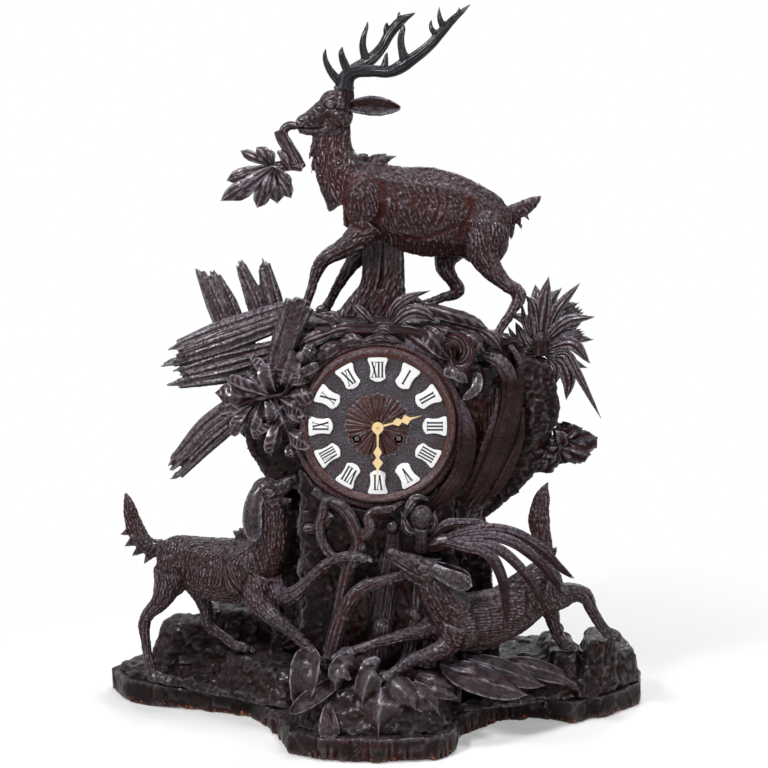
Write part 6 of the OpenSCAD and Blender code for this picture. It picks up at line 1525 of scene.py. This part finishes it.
def make_front_relief():
    """The rocky hollow that is carved into the front board round the dial, as a skin on the board."""
    bpy.ops.mesh.primitive_grid_add(x_subdivisions=100, y_subdivisions=224, size=2)
    skin = bpy.context.active_object
    grid, _ = corners(skin)
    across, z = grid[:, 0] * MM, 229 + grid[:, 1] * MM * 169
    wander = 2.4 * np.sin(z * 0.13) + 1.6 * np.sin(z * 0.31 + 1)
    edge = np.clip((np.abs(across) - 0.88) / 0.12, 0, 1)
    x = np.sign(across) * (np.minimum(np.abs(across) / 0.88, 1) * (74 + wander) + 3.5 * edge)
    from_dial = np.hypot(x, z - DIAL_Z)
    rise = np.interp(z, (60, 90, 150, 225, 400), (6.2, 5.4, 4.4, 4.6, 4.0))
    rise -= 2.6 * np.exp(-((x + 4) / 26) ** 2 - ((z - 130) / 46) ** 2)
    rise = np.where(from_dial < 84, -2.0, rise)
    reshaped(skin, np.stack([x, CASE_Y - rise * (1 - edge) + 34 * edge ** 2, z], 1))
    hewn(skin, 11.0, 0.4, 17, 1.2)
    roughened(skin, 12.0, 0.8, (1, 1, 0.6))
    dice = random.Random(18)
    cuts = [cut for x, z, count in ((0, 222, 6), (2, 210, 6), (0, 198, 6), (30, 150, 7), (20, 110, 6), (-30, 100, 5))
            for cut in hatch(x, z, count, 3.4, 12, 0.5, 2.2, 1.4)]
    cuts += [([(x, z), (x + 7, z - 20), (x + 18, z - 46)], 3.0, 1.2, -1)
             for x, z in ((dice.uniform(-50, 30), dice.uniform(110, 170)) for _ in range(18))]
    carved(skin, cuts)
    finished(kept_in(walled([skin], "front_relief", 2.5)), rock_wood)


make_front_relief()


# Dial

def ring_front(share, turn):
    """The ring from its worn inner edge to its outer edge: a roped lip with turned grooves, and a beaded step."""
    r = 67.3 + 15 * share
    if share < 0.09:
        return r, CASE_Y - 13.4 - share * 16, 1.0
    if share < 0.47:
        dome = math.sin(math.pi * (share - 0.07) / 0.42)
        rope = math.sin(turn * 150 + share * 50)
        y = CASE_Y - 14.3 - 2.3 * dome - 0.25 * rope * dome - 0.22 * math.cos(share * 75)
        return r, y, 0.1 + max(0, -rope) * 0.3
    if share < 0.54:
        return r, CASE_Y - 9.5 - (0.54 - share) / 0.07 * 4, 0.8
    dome = math.sin(math.pi * min(1, (share - 0.53) / 0.47))
    bead = math.sin(turn * 190 - share * 16)
    return r, CASE_Y - 6.7 - 2.8 * dome - 0.25 * bead * dome - 0.2 * math.cos(share * 80), max(0, -bead) * 0.3


def petal_front(share, turn):
    """Twelve petals round the middle, each with a groove on either side and two finer ones along it."""
    lobe = abs(math.cos(6 * turn)) ** 0.6
    edge = 29.5 + 3.2 * lobe - 1.6 * abs(math.sin(18 * turn))
    r = 6.2 + (edge - 6.2) * share
    off = abs((turn / (2 * math.pi) * 12 + 0.5) % 1.0 - 0.5)
    arc = 2 * math.pi * r / 12
    main = math.exp(-((0.5 - off) * arc / 0.95) ** 2)
    fine = math.exp(-((off - 0.19) * arc / 0.55) ** 2) * min(1, share * 2)
    hub = max(0, 1 - share / 0.14)
    lift = 3.0 + 1.9 * math.sin(math.pi * min(1, 0.12 + share * 0.95)) - 1.3 * share ** 3 + 0.5 * hub
    return r, DIAL_Y - max(0.7, lift - 1.5 * main - 0.75 * fine), min(1, main * 0.9 + fine * 0.5)


finished(polar_relief(42, 960, ring_front, CASE_Y, "dial_ring_carved"), ring_wood, "dial_ring", angle=50)
rosette = polar_relief(30, 576, petal_front, DIAL_Y, "dial_rosette_carved")


def drilled(piece, places, radius, y0, y1):
    """Bores round holes through the piece along Y."""
    for x, z in places:
        bpy.ops.mesh.primitive_cylinder_add(vertices=40, radius=radius * MM, depth=(y1 - y0) * MM,
                                            location=(x * MM, (y0 + y1) / 2 * MM, z * MM),
                                            rotation=(math.pi / 2, 0, 0))
        drill = place(bpy.context.active_object)
        shaped(piece, "BOOLEAN", operation="DIFFERENCE", solver="EXACT", object=drill)
        bpy.data.objects.remove(drill)


drilled(rosette, [(20, 297.5), (-20, 297.5)], 4.3, -90, -60)
finished(rosette, ring_wood, "dial_rosette", angle=35)

PLAQUE_EDGE = [(-11.8, 0), (-11.6, 2.6), (-9, 7.2), (-7, 7.6), (-2, 6.9), (3, 7.3), (8, 9.2), (9.6, 9.6), (11.4, 8.6),
               (11.8, 0)]
PLAQUE_R = 54.6  # middle of the plaques
NUMERAL_TALL, NUMERAL_WIDE, NUMERAL_MOST = 14.5, 7.5, 12.0
STROKES = {"I": [((0, 0), (0, 1), 0.24)], "V": [((-0.26, 1), (0, 0), 0.24), ((0.26, 1), (0, 0), 0.1)],
           "X": [((-0.26, 1), (0.26, 0), 0.24), ((0.26, 1), (-0.26, 0), 0.1)]}
STEP = {"I": 0.45, "V": 0.72, "X": 0.72}
HOURS = ["III", "II", "I", "XII", "XI", "X", "IX", "VIII", "VII", "VI", "V", "IIII"]


def flat_shape(points, y, thick, turn, name, bevel=0.0):
    """A flat shape on the dial, drawn along and across the dial's radius, turned to its hour."""
    mesh = bpy.data.meshes.new(name)
    c, s = math.cos(turn), math.sin(turn)
    outline = [((PLAQUE_R + u) * c - v * s, (PLAQUE_R + u) * s + v * c) for u, v in points]
    mesh.from_pydata([(x * MM, y * MM, (DIAL_Z + z) * MM) for x, z in outline], [], [list(range(len(points)))])
    piece = worked(linked(name, mesh),
                   (bpy.ops.mesh.extrude_region_move, {"TRANSFORM_OT_translate": {"value": (0, -thick * MM, 0)}}),
                   (bpy.ops.mesh.normals_make_consistent, {"inside": False}))
    if bevel:
        shaped(piece, "BEVEL", width=bevel * MM, segments=3, limit_method="ANGLE", angle_limit=math.radians(50))
    return piece


def bar(low, a, high, b, half):
    """The corners of a stroke that goes from place a at its foot to place b at its head."""
    return [(low, -(a - half)), (low, -(a + half)), (high, -(b + half)), (high, -(b - half))]


def numeral(text, turn):
    """Upright strokes and their serifs, the feet towards the dial's centre."""
    total = sum(STEP[ch] for ch in text)
    tall, squeeze = NUMERAL_TALL, min(1.0, NUMERAL_MOST / (total * NUMERAL_WIDE))
    wide = NUMERAL_WIDE * squeeze
    parts, x = [], -total / 2
    for ch in text:
        centre = x + STEP[ch] / 2
        for (x0, z0), (x1, z1), w in STROKES[ch]:
            a, b = (centre + x0) * wide, (centre + x1) * wide
            w = max(0.4, w * wide) / 2
            quad = bar(z0 * tall - tall / 2, a, z1 * tall - tall / 2, b, w)
            parts.append(flat_shape(quad, DIAL_Y - 2.9, 0.2, turn, "stroke"))
        for z, feet in ((0, [0] if ch != "X" else [-0.26, 0.26]), (1, [0] if ch == "I" else [-0.26, 0.26])):
            if ch == "V" and z == 0:
                continue
            for f in feet:
                a, w = (centre + f) * wide, 0.19 * wide
                base = z * tall - tall / 2
                quad = bar(base - 0.35, a, base + 0.35, a, w)
                parts.append(flat_shape(quad, DIAL_Y - 2.9, 0.22, turn, "serif"))
        x += STEP[ch]
    return parts


plaques, figures = [], []
edge_points = PLAQUE_EDGE + [(u, -v) for u, v in PLAQUE_EDGE[-2:0:-1]]
for hour in range(12):
    plaques.append(flat_shape(edge_points, DIAL_Y, 3.0, math.radians(30 * hour), "plaque", 0.7))
    figures += numeral(HOURS[hour], math.radians(30 * hour))
finished(joined(plaques, "numeral_plaques_enamelled"), enamel, "numeral_plaques", slot="enamel")
finished(joined(figures, "numerals"), ink, slot="enamel")

# Finishes of the CAD nodes that stay as they are

KEPT_NODES = [
    (board_wood, "front_board side_boards top_board floor_board rear_door door_button"),
    (dial_black, "dial_plate"),
    (gilt, "hour_hand minute_hand"),
    (arbor_steel, "going_arbor strike_arbor"),
    (steel, "movement_screws anchor suspension_spring pendulum_rod hammer bell_stand"),
    (brass_old, """hinge_case_leaves hinge_door_leaves front_plate back_plate plate_pillars going_barrel strike_barrel
                   centre_wheel third_wheel escape_wheel suspension_cock pendulum_bob rating_nut pin_wheel
                   locking_wheel fly bell cannon_pinion minute_wheel hour_wheel"""),
]
for finish, names in KEPT_NODES:
    for node_name in names.split():
        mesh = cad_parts[node_name].data
        mesh.materials.clear()
        mesh.materials.append(finish)


# Floor, camera and light

def looked_at(tree):
    """1 for rays of the camera, of reflections and through glass, 0 for the light that falls on things."""
    rays = node(tree, "ShaderNodeLightPath")
    seen = maths(tree, "MAXIMUM", rays.outputs["Is Camera Ray"], rays.outputs["Is Glossy Ray"])
    return maths(tree, "MAXIMUM", seen, rays.outputs["Is Transmission Ray"])


WORLD_LIGHT = 0.09  # what the white surround gives the object


def add_stage():
    """A white floor that keeps the object's shadow, and a white surround for the camera and for reflections."""
    white = bpy.data.materials.new("white_floor")
    white.use_nodes = True
    tree = white.node_tree
    shader = tree.nodes["Principled BSDF"]
    shader.inputs["Base Color"].default_value = (0.9, 0.9, 0.9, 1)
    shader.inputs["Roughness"].default_value = 0.9
    glow = node(tree, "ShaderNodeEmission", {"Color": (1, 1, 1, 1), "Strength": 1.0})
    away = node(tree, "ShaderNodeVectorMath", {0: node(tree, "ShaderNodeTexCoord").outputs["Object"]},
                operation="LENGTH").outputs["Value"]
    share = maths(tree, "MULTIPLY", span(tree, away, 0.25, 0.8, 0.3, 1.0), looked_at(tree))
    mixed = node(tree, "ShaderNodeMixShader", {0: share, 1: shader.outputs[0], 2: glow.outputs[0]})
    tree.links.new(mixed.outputs[0], tree.nodes["Material Output"].inputs["Surface"])
    bpy.ops.mesh.primitive_plane_add(size=12, location=(0, 0, -0.0005))
    floor = bpy.context.active_object
    floor.name = "floor"
    floor.data.materials.append(white)
    world = bpy.data.worlds.new("world")
    bpy.context.scene.world = world
    world.use_nodes = True
    tree = world.node_tree
    ground = tree.nodes["Background"]
    ground.inputs["Color"].default_value = (1, 1, 1, 1)
    tree.links.new(span(tree, looked_at(tree), 0, 1, WORLD_LIGHT, 1.0), ground.inputs["Strength"])


def aim(thing, target):
    thing.rotation_euler = (Vector(target) - thing.location).to_track_quat("-Z", "Y").to_euler()


def add_light(name, at, size, power):
    lamp = bpy.data.lights.new(name, "AREA")
    lamp.size = size
    lamp.energy = power
    holder = linked(name, lamp)
    holder.location = at
    aim(holder, LAMP_TARGET)


def add_camera():
    lens = bpy.data.cameras.new("camera")
    lens.lens = CAMERA_LENS
    lens.sensor_width = 36
    holder = linked("camera", lens)
    target = Vector(CAMERA_TARGET) * MM
    holder.location = target + Vector((0, -math.cos(CAMERA_TILT), math.sin(CAMERA_TILT))) * CAMERA_AWAY
    bpy.context.scene.camera = holder
    aim(holder, target)


CAMERA_TARGET = (6, 0, 340)
CAMERA_AWAY = 1.6  # metres
CAMERA_TILT = math.radians(8)
CAMERA_LENS = 75
LAMP_TARGET = (0, 0, 0.34)
LAMPS = [("key", (-1.0, -1.3, 1.7), 0.35, 38), ("top", (0.2, -0.4, 2.0), 0.45, 17),
         ("fill", (1.5, -1.2, 0.9), 0.4, 8), ("back", (0.6, 1.6, 1.6), 0.9, 20)]
add_stage()
add_camera()
for lamp_values in LAMPS:
    add_light(*lamp_values)
bpy.context.scene.view_settings.view_transform = "Standard"
